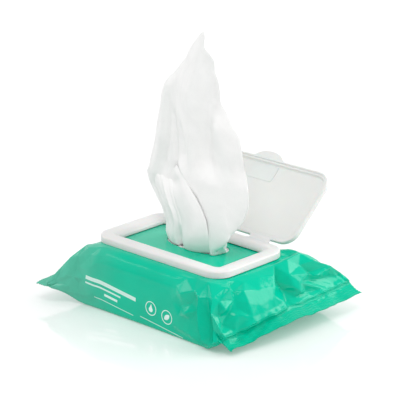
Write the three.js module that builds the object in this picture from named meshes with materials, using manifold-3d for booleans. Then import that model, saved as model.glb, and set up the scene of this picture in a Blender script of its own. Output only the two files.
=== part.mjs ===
// Wet wipes pack: a sealed film pouch, a hinged lid on a frame, folded wipes and one wipe pulled up.
// Millimetres, +Z up, the pouch stands on z = 0 and the lid frame is centred on x = y = 0.
import * as THREE from 'three';
import { mergeVertices } from 'three/addons/utils/BufferGeometryUtils.js';
import Module from 'manifold-3d';

const wasm = await Module();
wasm.setup();

// ---- driving dimensions ----
const FRAME_L = 112;
const FRAME_W = 65.5;
const FRAME_R = 12;
const FRAME_BAND = 9.3;
const FRAME_FOOT_Z = 41.4;
const FRAME_TOP_Z = 46;
const FRAME_WALL = 1.1;

const FILM_TOP_Z = 41;
const FILM_WALL = 0.7;
const HOLE_X = -0.3;
const HOLE_Y = 8.5;
const HOLE_L = 49;
const HOLE_W = 24;
const HOLE_R = 10;

const HINGE_Y = 33.5;
const HINGE_Z = 46.3;
const OPEN_DEG = 138;
const WEB_IN = 22;
const WEB_OUT = 40;
const WEB_T = 0.5;

const LID_BACK_GAP = 1.5;
const LID_REACH = 57.8;
const LID_R = 11;
const LID_RIM_Z = 46.5;
const LID_H = 4;
const LID_WALL = 1.3;
const LID_STEP = 1.4;
const LID_SKIN = 1.3;
const TAB_W = 28;
const TAB_OUT = 5.4;
const TAB_T = 1.6;

const STACK_COUNT = 19;
const STACK_L = 101;
const STACK_W = 76;
const STACK_Z = 1;
const PLY = 0.8;
const PLY_GAP = 0.2;
const WIPE_PITCH = 1.95;

// Pouch sections along x: [x, top z, bottom z, half width, centre y, top radius, bottom radius].
const SECTIONS = [
  [-80, 13.2, 12.2, 61.5, 0, 0.45, 0.45],
  [-75, 13.2, 12.2, 61.5, 0, 0.45, 0.45],
  [-70.2, 13.3, 12.1, 61.4, 0, 0.5, 0.5],
  [-69, 18, 9.6, 60, 0, 3, 2.4],
  [-67, 24.4, 6.4, 57, 0, 7, 3.6],
  [-64, 31, 3.2, 52.6, 0, 10, 5],
  [-60.5, 35.8, 1, 49, 0, 11.5, 5.5],
  [-57, 38.8, 0, 46.8, 0, 11.5, 5.5],
  [-52, 40.6, 0, 45.2, 0, 11.2, 5.5],
  [-47, 41, 0, 44.4, 0, 11, 5.5],
  [-30, 41, 0, 44, 0, 10.6, 5.5],
  [0, 41, 0, 43.8, 0, 10.4, 5.5],
  [30, 41, 0, 44, 0, 10.6, 5.5],
  [48, 41, 0, 44.6, 0.2, 11, 5.5],
  [54, 40.8, 0, 45.3, 0.7, 11.2, 5.5],
  [59, 39.6, 0, 47, 1.6, 11.5, 5.5],
  [63, 37.2, 1.2, 49.2, 2.8, 11, 5.2],
  [66.5, 33.6, 3, 51.7, 4.7, 10.5, 4.6],
  [69.5, 28.6, 5.6, 54, 7, 9, 3.8],
  [71.8, 22, 8.2, 56, 10, 5, 2.6],
  [73.2, 16, 10.2, 57.2, 12.3, 2.4, 1.2],
  [74, 12.8, 11.3, 57.5, 13.5, 0.6, 0.6],
  [79, 12.5, 11.5, 57.5, 13.5, 0.45, 0.45],
  [85, 12.5, 11.5, 57.5, 13.5, 0.45, 0.45],
];
const CAVITY_FROM = -66;
const CAVITY_TO = 68;
const CAVITY_PULL = 2;
const CAVITY_HALF = 44.6;

// Pulled wipe sections: [z, centre x, centre y, half width in x, half depth in y].
const WIPE_RINGS = [
  [38.5, 2, 8.5, 30, 13],
  [39.9, 2, 8.5, 31, 14],
  [40, 2, 8.5, 19, 8.4],
  [42.6, 1.6, 8.5, 19.4, 8.6],
  [48, 0.6, 8.4, 25, 10.6],
  [56, -0.6, 8.2, 33, 12.4],
  [66, -2, 8, 39.5, 12.8],
  [76, -3, 8, 43, 12.6],
  [86, -3, 8, 43.6, 12.2],
  [98, -2.4, 8, 41.6, 11.8],
  [110, -0.8, 8, 38.6, 11.4],
  [120, 0.4, 8, 35.2, 11],
  [130, -0.4, 8, 29.6, 10.4],
  [139, -3, 8, 23.8, 9.6],
  [148, -3.4, 7.8, 20.2, 8.6],
  [158, -0.6, 7.6, 15.2, 7.2],
  [167, 2.4, 7.4, 10.8, 5.8],
  [175, 4.6, 7.2, 7, 4.4],
  [181, 6, 7, 4, 3],
  [185, 7, 7, 1.4, 1.2],
];

// ---- helpers ----
function smooth(t) {
  const c = Math.min(1, Math.max(0, t));
  return c * c * (3 - 2 * c);
}

function sectionAt(x) {
  let i = 0;
  while (i < SECTIONS.length - 2 && SECTIONS[i + 1][0] < x) i += 1;
  const a = SECTIONS[i];
  const b = SECTIONS[i + 1];
  const t = (x - a[0]) / (b[0] - a[0]);
  return a.map((v, k) => v + (b[k] - v) * t);
}

// A closed solid through rings of equal length, its two ends closed by fans or by strips.
function loft(rings, stripCaps = false) {
  const n = rings[0].length;
  const pos = rings.flat(2);
  const idx = [];
  for (let r = 0; r < rings.length - 1; r += 1) {
    for (let k = 0; k < n; k += 1) {
      const a = r * n + k;
      const b = r * n + ((k + 1) % n);
      idx.push(a, b, b + n, a, b + n, a + n);
    }
  }
  for (const [first, flip] of [[0, true], [(rings.length - 1) * n, false]]) {
    const tri = (a, b, c) => (flip ? idx.push(a, c, b) : idx.push(a, b, c));
    if (stripCaps) {
      for (let k = 0; k < n / 2; k += 1) {
        const a = first + k;
        const b = first + k + 1;
        const c = first + ((n - k) % n);
        const d = first + n - k - 1;
        if (c !== a) tri(a, b, c);
        if (b !== d) tri(b, d, c);
      }
    } else {
      const ring = rings[first / n];
      const mid = [0, 1, 2].map((c) => ring.reduce((s, p) => s + p[c], 0) / n);
      pos.push(...mid);
      const m = pos.length / 3 - 1;
      for (let k = 0; k < n; k += 1) tri(first + k, first + ((k + 1) % n), m);
    }
  }
  const g = new THREE.BufferGeometry();
  g.setAttribute('position', new THREE.Float32BufferAttribute(pos, 3));
  g.setIndex(idx);
  return outward(g);
}

function signedVolume(g) {
  const p = g.attributes.position;
  const ix = g.index.array;
  const a = new THREE.Vector3();
  const b = new THREE.Vector3();
  const c = new THREE.Vector3();
  let v = 0;
  for (let i = 0; i < ix.length; i += 3) {
    a.fromBufferAttribute(p, ix[i]);
    b.fromBufferAttribute(p, ix[i + 1]);
    c.fromBufferAttribute(p, ix[i + 2]);
    v += a.dot(b.cross(c));
  }
  return v / 6;
}

function outward(g) {
  if (signedVolume(g) < 0) {
    const ix = g.index.array;
    for (let i = 0; i < ix.length; i += 3) {
      const t = ix[i];
      ix[i] = ix[i + 1];
      ix[i + 1] = t;
    }
  }
  return g;
}

function bare(g) {
  const out = new THREE.BufferGeometry();
  out.setAttribute('position', g.attributes.position.clone());
  if (g.index) out.setIndex(g.index.clone());
  return mergeVertices(out, 1e-4);
}

function solid(g) {
  const m = bare(g);
  return new wasm.Manifold(new wasm.Mesh({
    numProp: 3,
    vertProperties: new Float32Array(m.attributes.position.array),
    triVerts: new Uint32Array(m.index.array),
  }));
}

function toGeometry(manifold) {
  const mesh = manifold.getMesh();
  const g = new THREE.BufferGeometry();
  g.setAttribute('position', new THREE.BufferAttribute(new Float32Array(mesh.vertProperties), 3));
  g.setIndex(new THREE.BufferAttribute(new Uint32Array(mesh.triVerts), 1));
  return g;
}

// A rounded rectangle at height z, its half sides hx and hy already inset by d.
function roundRect(hx, hy, r, z, perCorner = 6, cx = 0, cy = 0) {
  const out = [];
  const corners = [[1, 1, 0], [-1, 1, 90], [-1, -1, 180], [1, -1, 270]];
  for (const [sx, sy, from] of corners) {
    for (let k = 0; k <= perCorner; k += 1) {
      const a = THREE.MathUtils.degToRad(from + (90 * k) / perCorner);
      out.push([cx + sx * (hx - r) + r * Math.cos(a), cy + sy * (hy - r) + r * Math.sin(a), z]);
    }
  }
  return out;
}

function boxAt(x0, x1, y0, y1, z0, z1) {
  const g = new THREE.BoxGeometry(x1 - x0, y1 - y0, z1 - z0);
  g.translate((x0 + x1) / 2, (y0 + y1) / 2, (z0 + z1) / 2);
  return g;
}

function mesh(name, geometry, colour, roughness) {
  geometry.computeVertexNormals();
  const m = new THREE.Mesh(geometry, new THREE.MeshStandardMaterial({ color: colour, roughness }));
  m.name = name;
  return m;
}

// ---- film pouch ----
// One closed section of the pouch at x. The inside is inset by the wall and doesn't flare at the ends.
function pouchSection(x, inset) {
  const [, zt, zb, half, centre, rTop, rBottom] = sectionAt(x);
  const cy = inset ? 0 : centre;
  const a = inset ? Math.min(half, CAVITY_HALF) - inset : half;
  const top = zt - inset;
  const low = zb + inset;
  const rt = Math.max(0.2, rTop - inset);
  const rb = Math.max(0.2, rBottom - inset);
  const mid = (top - rt + low + rb) / 2;
  const bulge = Math.min(1.2, (top - low) * 0.03);
  const side = [];
  side.push([-a - bulge, mid]);
  const arc = (r, z, up) => {
    for (let k = 0; k <= 4; k += 1) {
      const t = (Math.PI / 2) * (k / 4);
      side.push([-a + r - r * Math.cos(t), z + up * r * Math.sin(t)]);
    }
  };
  arc(rt, top - rt, 1);
  const left = side.splice(0);
  arc(rb, low + rb, -1);
  const under = side.splice(0);
  const flat = (r, z) => [-0.66, -0.33, 0, 0.33, 0.66].map((f) => [f * (a - r), z]);
  const mirror = (list) => list.map(([y, z]) => [-y, z]).reverse();
  const upper = [...left, ...flat(rt, top), ...mirror(left)];
  const lower = [...under, ...flat(rb, low), ...mirror(under)].reverse();
  const pull = inset ? (CAVITY_PULL * x) / CAVITY_TO : 0;
  return [...upper, ...lower].map(([y, z]) => {
    const p = settle(x, cy + y, z);
    return [p[0] - pull, p[1], p[2]];
  });
}

// The seals' own lie: the left one arches a little, the right one sags at its front half.
function settle(x, y, z) {
  const left = smooth((-x - 64) / 8);
  const right = smooth((x - 66) / 8);
  const arch = 4 * left * Math.max(0, 1 - (y / 60) ** 2);
  const sag = right * smooth((8 - y) / 54);
  return [x - 8 * sag, y, z + arch - 9.8 * sag];
}

function pouchLoft(xs, inset) {
  return solid(loft(xs.map((x) => pouchSection(x, inset)), true));
}

function filmPouch() {
  const outerX = SECTIONS.map((s) => s[0]);
  const innerX = [CAVITY_FROM, ...outerX.filter((x) => x > CAVITY_FROM && x < CAVITY_TO), CAVITY_TO];
  const outer = pouchLoft(outerX, 0);
  const inner = pouchLoft(innerX, FILM_WALL);
  const z0 = FILM_TOP_Z - 4;
  const hole = loft([z0, FILM_TOP_Z + 4].map(
    (z) => roundRect(HOLE_L / 2, HOLE_W / 2, HOLE_R, z, 8, HOLE_X, HOLE_Y)));
  return mesh('film_pouch', toGeometry(outer.subtract(inner).subtract(solid(hole))), 0x00c09b, 0.3);
}

// ---- lid frame ----
function frameProfile() {
  const b = FRAME_BAND;
  const foot = FRAME_FOOT_Z;
  const top = FRAME_TOP_Z;
  return [
    [0, foot], [0, top - 1.4], [0.35, top - 0.7], [1.1, top - 0.28], [3.6, top - 0.16],
    [b / 2, top], [b - 3.6, top - 0.16], [b - 1.2, top - 0.3], [b - 0.35, top - 0.75],
    [b, top - 1.5], [b, foot], [b - FRAME_WALL, foot], [b - FRAME_WALL, top - 1.7],
    [FRAME_WALL, top - 1.7], [FRAME_WALL, foot],
  ];
}

function lidFrame() {
  const profile = frameProfile();
  const loops = profile.map(([d, z]) => roundRect(FRAME_L / 2 - d, FRAME_W / 2 - d, FRAME_R - d, z, 7));
  const n = loops[0].length;
  const m = loops.length;
  const pos = loops.flat(2);
  const idx = [];
  for (let i = 0; i < m; i += 1) {
    const j = (i + 1) % m;
    for (let k = 0; k < n; k += 1) {
      const l = (k + 1) % n;
      idx.push(i * n + k, i * n + l, j * n + l, i * n + k, j * n + l, j * n + k);
    }
  }
  const g = new THREE.BufferGeometry();
  g.setAttribute('position', new THREE.Float32BufferAttribute(pos, 3));
  g.setIndex(idx);
  let ring = solid(outward(g));
  for (const s of [-1, 1]) {
    const x0 = s > 0 ? WEB_IN : -WEB_OUT;
    const web = boxAt(x0, x0 + WEB_OUT - WEB_IN, FRAME_W / 2 - 0.6, HINGE_Y - 0.15,
      FRAME_TOP_Z - 2.2, FRAME_TOP_Z - 2.2 + 1.6);
    ring = ring.add(solid(web));
  }
  return mesh('lid_frame', toGeometry(ring), 0xf1f0ee, 0.45);
}

// ---- lid, drawn shut and then turned open about the hinge line ----
function lidLoop(inset, z, perCorner = 7) {
  const back = HINGE_Y - LID_BACK_GAP;
  const front = HINGE_Y - LID_REACH;
  const hy = (back - front) / 2;
  return roundRect(FRAME_L / 2 - inset, hy - inset, Math.max(2, LID_R - inset), z, perCorner,
    0, (back + front) / 2);
}

function thumbTab() {
  const front = HINGE_Y - LID_REACH;
  const w = TAB_W / 2;
  const s = new THREE.Shape();
  s.moveTo(-w, front + 1);
  s.lineTo(-w, front + 0.2);
  s.bezierCurveTo(-w * 0.72, front - 0.4, -w * 0.66, front - TAB_OUT, 0, front - TAB_OUT);
  s.bezierCurveTo(w * 0.66, front - TAB_OUT, w * 0.72, front - 0.4, w, front + 0.2);
  s.lineTo(w, front + 1);
  s.closePath();
  const g = new THREE.ExtrudeGeometry(s, { depth: TAB_T, bevelEnabled: false, curveSegments: 8 });
  g.translate(0, 0, LID_RIM_Z);
  return g;
}

function lid() {
  const z0 = LID_RIM_Z;
  const z1 = LID_RIM_Z + LID_H;
  const shell = solid(loft([
    lidLoop(0, z0), lidLoop(0, z1 - 1.4), lidLoop(0.4, z1 - 0.5), lidLoop(1.5, z1),
  ]));
  const rim = solid(loft([lidLoop(LID_WALL, z0 - 1), lidLoop(LID_WALL, z0 + 0.9)]));
  const tray = solid(loft([
    lidLoop(LID_WALL + LID_STEP, z0 - 1), lidLoop(LID_WALL + LID_STEP, z1 - LID_SKIN)]));
  const front = HINGE_Y - LID_REACH;
  const ceiling = z1 - LID_SKIN;
  const panel = boxAt(-11, 11, front + 4, front + 16, ceiling - 0.35, ceiling + 0.3);
  let body = shell.subtract(rim).subtract(tray).add(solid(thumbTab())).add(solid(panel));
  for (const s of [-1, 1]) {
    const x0 = s > 0 ? WEB_IN : -WEB_OUT;
    const web = boxAt(x0, x0 + WEB_OUT - WEB_IN, HINGE_Y - LID_BACK_GAP - 0.6, HINGE_Y - 0.15,
      LID_RIM_Z, LID_RIM_Z + WEB_T);
    body = body.add(solid(web));
  }
  const g = toGeometry(body);
  g.translate(0, -HINGE_Y, -HINGE_Z);
  g.rotateX(THREE.MathUtils.degToRad(-OPEN_DEG));
  g.translate(0, HINGE_Y, HINGE_Z);
  return mesh('lid', g, 0xf1f0ee, 0.45);
}

// ---- folded wipes inside ----
// Each is doubled once end to end, so a ply here is two layers, and then folded over once across.
function foldedWipe(index) {
  const w = STACK_W / 2;
  const z = STACK_Z + index * WIPE_PITCH;
  const h = 2 * PLY + PLY_GAP;
  const turn = index % 2 ? -1 : 1;
  const s = new THREE.Shape();
  s.moveTo(-w, 0);
  s.lineTo(w - h / 2, 0);
  for (let k = 1; k <= 4; k += 1) {
    const a = -Math.PI / 2 + (Math.PI * k) / 4;
    s.lineTo(w - h / 2 + (h / 2) * Math.cos(a), h / 2 + (h / 2) * Math.sin(a));
  }
  s.lineTo(-w, h);
  s.lineTo(-w, PLY + PLY_GAP);
  s.lineTo(w - h / 2, PLY + PLY_GAP);
  s.lineTo(w - h / 2 + 0.1, PLY + PLY_GAP / 2);
  s.lineTo(w - h / 2, PLY);
  s.lineTo(-w, PLY);
  s.closePath();
  const g = new THREE.ExtrudeGeometry(s, { depth: STACK_L, bevelEnabled: false });
  g.translate(0, 0, -STACK_L / 2);
  g.rotateX(Math.PI / 2);
  g.rotateZ((turn * Math.PI) / 2);
  g.translate(0, 0, z);
  return mesh(`wipe_${String(index + 1).padStart(2, '0')}`, outward(bare(g)), 0xf4f5f4, 0.9);
}

// ---- the wipe pulled up through the hole ----
function pulledWipe() {
  const count = 28;
  const rings = WIPE_RINGS.map(([z, cx, cy, a, b]) => {
    const fold = 0.14 * smooth((z - 44) / 12) * smooth((186 - z) / 20);
    const ring = [];
    for (let k = 0; k < count; k += 1) {
      const t = (2 * Math.PI * k) / count;
      const wave = 1 + fold * Math.sin(4 * t + z * 0.03);
      ring.push([cx + a * Math.cos(t), cy + b * Math.sin(t) * wave, z]);
    }
    return ring;
  });
  return mesh('pulled_wipe', loft(rings), 0xf4f5f4, 0.9);
}

const pack = new THREE.Group();
pack.name = 'wet_wipes_pack';
pack.add(filmPouch(), lidFrame(), lid());
for (let i = 0; i < STACK_COUNT; i += 1) pack.add(foldedWipe(i));
pack.add(pulledWipe());

export default pack;
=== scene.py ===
"""Looks of a wet wipes pack: crumpled film pouch, lid frame, hinged lid, folded wipes and the pulled wipe.

Shapes are worked out in millimetres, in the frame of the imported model, and put down in metres.
"""

import functools
import math

import bmesh
import bpy
import numpy as np
from bpy.props import FloatProperty, FloatVectorProperty, PointerProperty
from mathutils import Matrix, Vector, geometry


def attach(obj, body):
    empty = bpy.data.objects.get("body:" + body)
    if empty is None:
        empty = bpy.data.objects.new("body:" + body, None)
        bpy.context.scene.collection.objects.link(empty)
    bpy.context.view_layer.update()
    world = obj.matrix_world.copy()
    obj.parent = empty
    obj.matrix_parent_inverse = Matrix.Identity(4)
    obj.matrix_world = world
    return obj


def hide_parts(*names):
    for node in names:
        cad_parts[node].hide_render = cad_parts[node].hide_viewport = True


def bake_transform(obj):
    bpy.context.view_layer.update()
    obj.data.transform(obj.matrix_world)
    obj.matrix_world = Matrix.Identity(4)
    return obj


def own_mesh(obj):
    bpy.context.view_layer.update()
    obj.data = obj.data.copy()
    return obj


bl_info = {
    "name": "Wet wipes pack",
    "version": (1, 0, 0),
    "blender": (4, 5, 0),
    "location": "3D View > Sidebar > Wipes pack",
    "description": "Builds the pouch, lid, hinge and wipes round the packed model",
    "category": "Object",
}

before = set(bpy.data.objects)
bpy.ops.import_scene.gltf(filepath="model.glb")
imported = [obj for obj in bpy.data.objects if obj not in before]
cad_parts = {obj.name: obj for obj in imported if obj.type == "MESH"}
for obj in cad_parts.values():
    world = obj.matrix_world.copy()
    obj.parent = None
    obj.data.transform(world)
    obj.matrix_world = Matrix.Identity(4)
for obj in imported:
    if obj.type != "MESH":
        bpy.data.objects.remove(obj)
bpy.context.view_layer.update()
MM = 0.001
WIPE_NODES = sorted(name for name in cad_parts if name.startswith("wipe_"))

# Pouch sections along x: x, top z, bottom z, half width, centre y, top radius, bottom radius.
SECTIONS = np.array([
    [-80, 13.2, 12.2, 61.5, 0, 0.45, 0.45],
    [-75, 13.2, 12.2, 61.5, 0, 0.45, 0.45],
    [-70.2, 13.3, 12.1, 61.4, 0, 0.5, 0.5],
    [-69, 18, 11.2, 60, 0, 3, 2],
    [-67, 24.4, 9.8, 57, 0, 7, 3.2],
    [-64, 30.8, 7.2, 52.6, 0, 10, 4.6],
    [-60.5, 35.2, 4, 49, 0, 11.5, 5.2],
    [-57, 38.1, 1.5, 46.8, 0, 11.5, 5.5],
    [-52, 40.2, 0.2, 45.2, 0, 11.2, 5.5],
    [-47, 41, 0, 44.4, 0, 11, 5.5],
    [-30, 41, 0, 44, 0, 10.6, 5.5],
    [0, 41, 0, 43.8, 0, 10.4, 5.5],
    [30, 41, 0, 44, 0, 10.6, 5.5],
    [48, 41, 0, 44.6, 0.2, 11, 5.5],
    [54, 40.8, 0, 45.3, 0.7, 11.2, 5.5],
    [59, 39.6, 0, 47, 1.6, 11.5, 5.5],
    [63, 37.2, 1.2, 49.2, 2.8, 11, 5.2],
    [66.5, 33.6, 3, 51.7, 4.7, 10.5, 4.6],
    [69.5, 28.6, 5.6, 54, 7, 9, 3.8],
    [71.8, 22, 8.2, 56, 10, 5, 2.6],
    [73.4, 17, 10.2, 57.2, 12.4, 2.8, 1.2],
    [75.2, 13.6, 11.3, 57.5, 13.5, 0.8, 0.6],
    [79, 12.5, 11.5, 57.5, 13.5, 0.45, 0.45],
    [85, 12.5, 11.5, 57.5, 13.5, 0.45, 0.45],
])

LEFT_END, RIGHT_END = SECTIONS[0, 0], SECTIONS[-1, 0]
FILM_TOP = 41.0

# ---- film surface ----

# Steps round one section: half a side, upper corner, top, lower corner, underside.
SIDE_STEPS, UPPER_STEPS, TOP_STEPS, LOWER_STEPS, UNDER_STEPS = 13, 22, 104, 10, 46
# The film's flat coordinate across counts down from nought past this place on the back.
BACK_TURN = 165


def ease(t):
    """Zero to one with flat ends."""
    c = np.clip(t, 0, 1)
    return c * c * (3 - 2 * c)


def eased_sections(x):
    """The section values at each x, rounded off along the length."""
    per_mm, reach, spread = 10, 30, 8.0
    fine = np.linspace(LEFT_END, RIGHT_END, int(RIGHT_END - LEFT_END) * per_mm + 1)
    kernel = np.exp(-0.5 * (np.arange(-reach, reach + 1) / spread) ** 2)
    kernel /= kernel.sum()
    out = []
    for values in SECTIONS.T[1:]:
        v = np.interp(fine, SECTIONS[:, 0], values)
        v = np.convolve(np.pad(v, reach, mode="edge"), kernel, mode="valid")
        out.append(np.interp(x, fine, v))
    return out


def section_ring(top, low, half, centre, r_top, r_low):
    """One closed section, from the middle of the front side up, over and round, as (y, z) rows."""
    r_low = 0.4 * r_low
    mid = (top - r_top + low + r_low) / 2
    bow = min(1.2, (top - low) * 0.03)
    foot = half + 0.7 * bow
    up = np.linspace(0, 1, SIDE_STEPS, endpoint=False)[:, None]
    side = np.array([-half - bow, mid]) * (1 - up) + np.array([-half, top - r_top]) * up
    side[:, 0] = -half - bow * (1 - up[:, 0] ** 2)
    t = np.linspace(0, np.pi / 2, UPPER_STEPS, endpoint=False)
    arc = np.stack([-half + r_top * (1 - np.cos(t)), top - r_top + r_top * np.sin(t)], 1)
    left = np.vstack([side, arc])
    flat = np.stack([np.linspace(-(half - r_top), half - r_top, TOP_STEPS), np.full(TOP_STEPS, top)], 1)
    right = left[::-1] * [-1, 1]
    upper = np.vstack([left, flat[:-1], [[half - r_top, top]], right[:-1]])
    low_side = np.array([-half - bow, mid]) * (1 - up) + np.array([-foot, low + r_low]) * up
    low_side[:, 0] = -half - bow * (1 - 0.3 * up[:, 0] ** 2)
    t = np.linspace(0, np.pi / 2, LOWER_STEPS, endpoint=False)
    low_arc = np.stack([-foot + r_low * (1 - np.cos(t)), low + r_low - r_low * np.sin(t)], 1)
    low_left = np.vstack([low_side, low_arc])
    under = np.stack([np.linspace(-(foot - r_low), foot - r_low, UNDER_STEPS), np.full(UNDER_STEPS, low)], 1)
    lower = np.vstack([low_left, under, low_left[1:][::-1] * [-1, 1]])
    ring = np.vstack([upper, [[half + bow, mid]], lower[1:][::-1]])
    ring[:, 0] += centre
    return ring


def settle(p):
    """The seals' own lie: the left one arches a little, the right one sags at its front half."""
    x, y, z = p[..., 0], p[..., 1], p[..., 2]
    left = ease((-x - 64) / 8)
    right = ease((x - 66) / 8)
    near = ease((8 - y) / 54)
    arch = 4 * left * np.clip(1 - (y / 60) ** 2, 0, None)
    outer = ease((x - 73) / 12)
    out = p.copy()
    out[..., 0] = x - 8 * near * ease((x - 50) / 35) + 1.2 * outer * ease((y - 56) / 14)
    sag = 7.6 * right + 1.2 * outer - 1.3 * right * np.exp(-(((y + 36) / 13) ** 2))
    tilt = 3.0 * (1 + 0.7 * ease((y - 14) / 50)) * ease((x - 65) / 10) * (1 - outer)
    corner = outer * (1.6 * ease((y - 50) / 20) - 0.9 * ease((y - 14) / 12))
    out[..., 2] = z + arch - near * sag + tilt + corner
    return out


def film_columns():
    """Where the pouch is cut across: close together at the ends, wider along the body."""
    body_start, body_end = -48, 44
    left = np.linspace(LEFT_END, body_start, 84, endpoint=False)
    body = np.linspace(body_start, body_end, 116, endpoint=False)
    right = np.linspace(body_end, RIGHT_END, 124)
    return np.concatenate([left, body, right])


def base_film():
    """The smooth pouch as a grid of points, with its flat film coordinates a (along) and s (across)."""
    x = film_columns()
    values = eased_sections(x)
    rings = [section_ring(*[v[i] for v in values]) for i in range(len(x))]
    grid = np.array([[(xi, y, z) for y, z in ring] for xi, ring in zip(x, rings)])
    weld = (ease((-x - 68.5) / 2.5) + ease((x - 73.4) / 1.5))[:, None]
    middle = ((values[0] + values[1]) / 2)[:, None]
    grid[..., 2] = middle + (grid[..., 2] - middle) * (1 - 0.45 * weld)
    grid = settle(grid)
    a = run_lengths(np.stack([x, values[0]], 1))
    a -= np.interp(0, x, a)
    s = run_lengths(rings[int(np.argmin(abs(x)))])
    return grid, a, s


def run_lengths(points):
    """Distance along a line of points, from its first point to each."""
    return np.concatenate([[0], np.cumsum(np.linalg.norm(np.diff(points, axis=0), axis=1))])


def girth(s):
    """The length of film once round the pouch, from the places of its columns."""
    return 2 * s[-1] - s[-2]


def flat_places(a, s):
    """The flat coordinates of every point of the film grid."""
    return np.meshgrid(a, np.where(s > BACK_TURN, s - girth(s), s), indexing="ij")


def grid_normals(grid):
    """Outward normals of a grid that closes on itself across."""
    du = np.gradient(grid, axis=0)
    dv = np.roll(grid, -1, axis=1) - np.roll(grid, 1, axis=1)
    n = np.cross(du, dv)
    n /= np.linalg.norm(n, axis=2, keepdims=True) + 1e-9
    return n


# ---- film creases ----

# Fold points of the right end and near corner, in flat film coordinates: along, across, height.
FOLD_POINTS = [
    (52, 17, 1.4), (54.5, 9, 2.2), (57.5, 2, 2.6), (62, -8, 2.2), (65, -14, 0.8),
    (57.5, 19, -0.5), (60, 11, -1.6), (65, 4, -2.2), (69, -6, -1.6), (71, -13, -0.6),
    (47.5, 17, -0.5), (49.5, 8, -0.9), (52, -1, -1.1), (57, -11, -0.9),
    (32, 13, 0.4), (46, 19, 0.5), (40.8, 4, 1.3), (36, 7, -0.9), (44, 10, -0.8), (30, 18, 0.1),
    (36, 15.5, 1.1), (43.5, 0, -0.3), (34, 0, 0), (26, 8, 0), (28, -8, 0), (42, -10, 0.2),
    (64, 22, 0.8), (69, 17, 0.2), (77, -7, 1.2), (74, 8, -1.0), (80, 12, -0.4), (84, 2, 0.8),
    (75, 29.6, 1.4), (80.3, 38.7, 1.8), (84, 31.6, -1.4), (78, 35.4, -1.0), (78, 26.7, -1.0),
    (82, 21, 1.2), (87, 26, 0.9), (88, 14, -0.4), (70, 27, -0.4), (88, 36, 0.4),
    (63, 33, 0.5), (65, 35, 1.3), (69, 43, 1.3), (72, 52, 1.0), (73.8, 62, 0.9), (86.6, 62, 0.5),
    (87, 52, 1.6), (84.5, 44, 2.5), (79, 40, 0.4), (72.5, 37.5, -0.6), (67, 38.5, -0.9),
    (63, 48, 0), (64, 58, 0.4), (66, 68, 0.8), (76, 43.5, 1.9), (80, 50, 1.75), (79, 58, 1.0),
    (59.5, 76, -0.2), (65, 72.5, -1.8), (69.2, 69.8, -2.6), (78, 67.9, -2.9), (87, 64.6, -1.6),
    (61, 84, 0.7), (73.8, 83.4, 1.9), (77.2, 76.3, 1.6), (70, 75, 1.2), (79, 71.5, 0.9),
    (84, 72, 1.4), (86, 76, -0.8), (83, 80, 1.1), (80, 83, -0.9), (88, 83, 0.8), (86, 69, -0.4),
    (73, 88, -1.2), (78, 89, 0.9), (66, 88, -0.4), (83, 92, -0.9), (88, 90, 0.2),
    (61, 95, 0.4), (68, 95.5, 1.3), (76, 99, 1.6), (87, 102, 0.4), (70, 101, -0.5),
    (80, 108, -1.2), (72, 112, 0.8), (86, 114, 0.9), (64, 108, 0.2), (78, 120, 0.6),
]

# Fold points of the left end.
LEFT_FOLD_POINTS = [
    (-41.7, 26, 0.2), (-39.5, 21.5, 0.9), (-40.5, 16, 1.0), (-45, 12, 0.7), (-47, 20, -0.5),
    (-36, 14, -0.2), (-52, 24, 0.5), (-58.5, 21, -1.1), (-57.5, 12, -1.3), (-56, 1, -1.0),
    (-56, -9, -0.4), (-64, 22, 1.1), (-65, 11, 1.3), (-63, -2, 1.0), (-50, 4, 0.5),
    (-50, -8, 0.2), (-72, 25, -0.8), (-74, 13, -0.6), (-72, 2, -0.7), (-80, 20, 0.8),
    (-80, 8, 0.6), (-78, -6, 0.3), (-68, 33, 0.7), (-76, 38, 0.8), (-66, 44, -0.7),
    (-78, 50, -0.5), (-70, 56, 0.8), (-80, 62, 0.6), (-66, 66, -0.6), (-76, 74, -0.6),
    (-69, 82, 0.8), (-79, 88, 0.5), (-68, 96, -0.6), (-76, 104, 0.7), (-64, 110, 0.3),
]


def film_places(grid, a, s, where):
    """Points of the film grid at flat coordinates, between its rows and columns."""
    rows, cols = grid.shape[:2]
    fa = np.clip(np.interp(where[:, 0], a, np.arange(rows)), 0, rows - 1.001)
    fs = np.interp(where[:, 1] % girth(s), np.append(s, girth(s)), np.arange(cols + 1))
    i, j = fa.astype(int), fs.astype(int)
    u, v = (fa - i)[:, None], (fs - j)[:, None]
    j0, j1 = j % cols, (j + 1) % cols
    low = grid[i, j0] * (1 - v) + grid[i, j1] * v
    high = grid[i + 1, j0] * (1 - v) + grid[i + 1, j1] * v
    return low * (1 - u) + high * u


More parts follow.
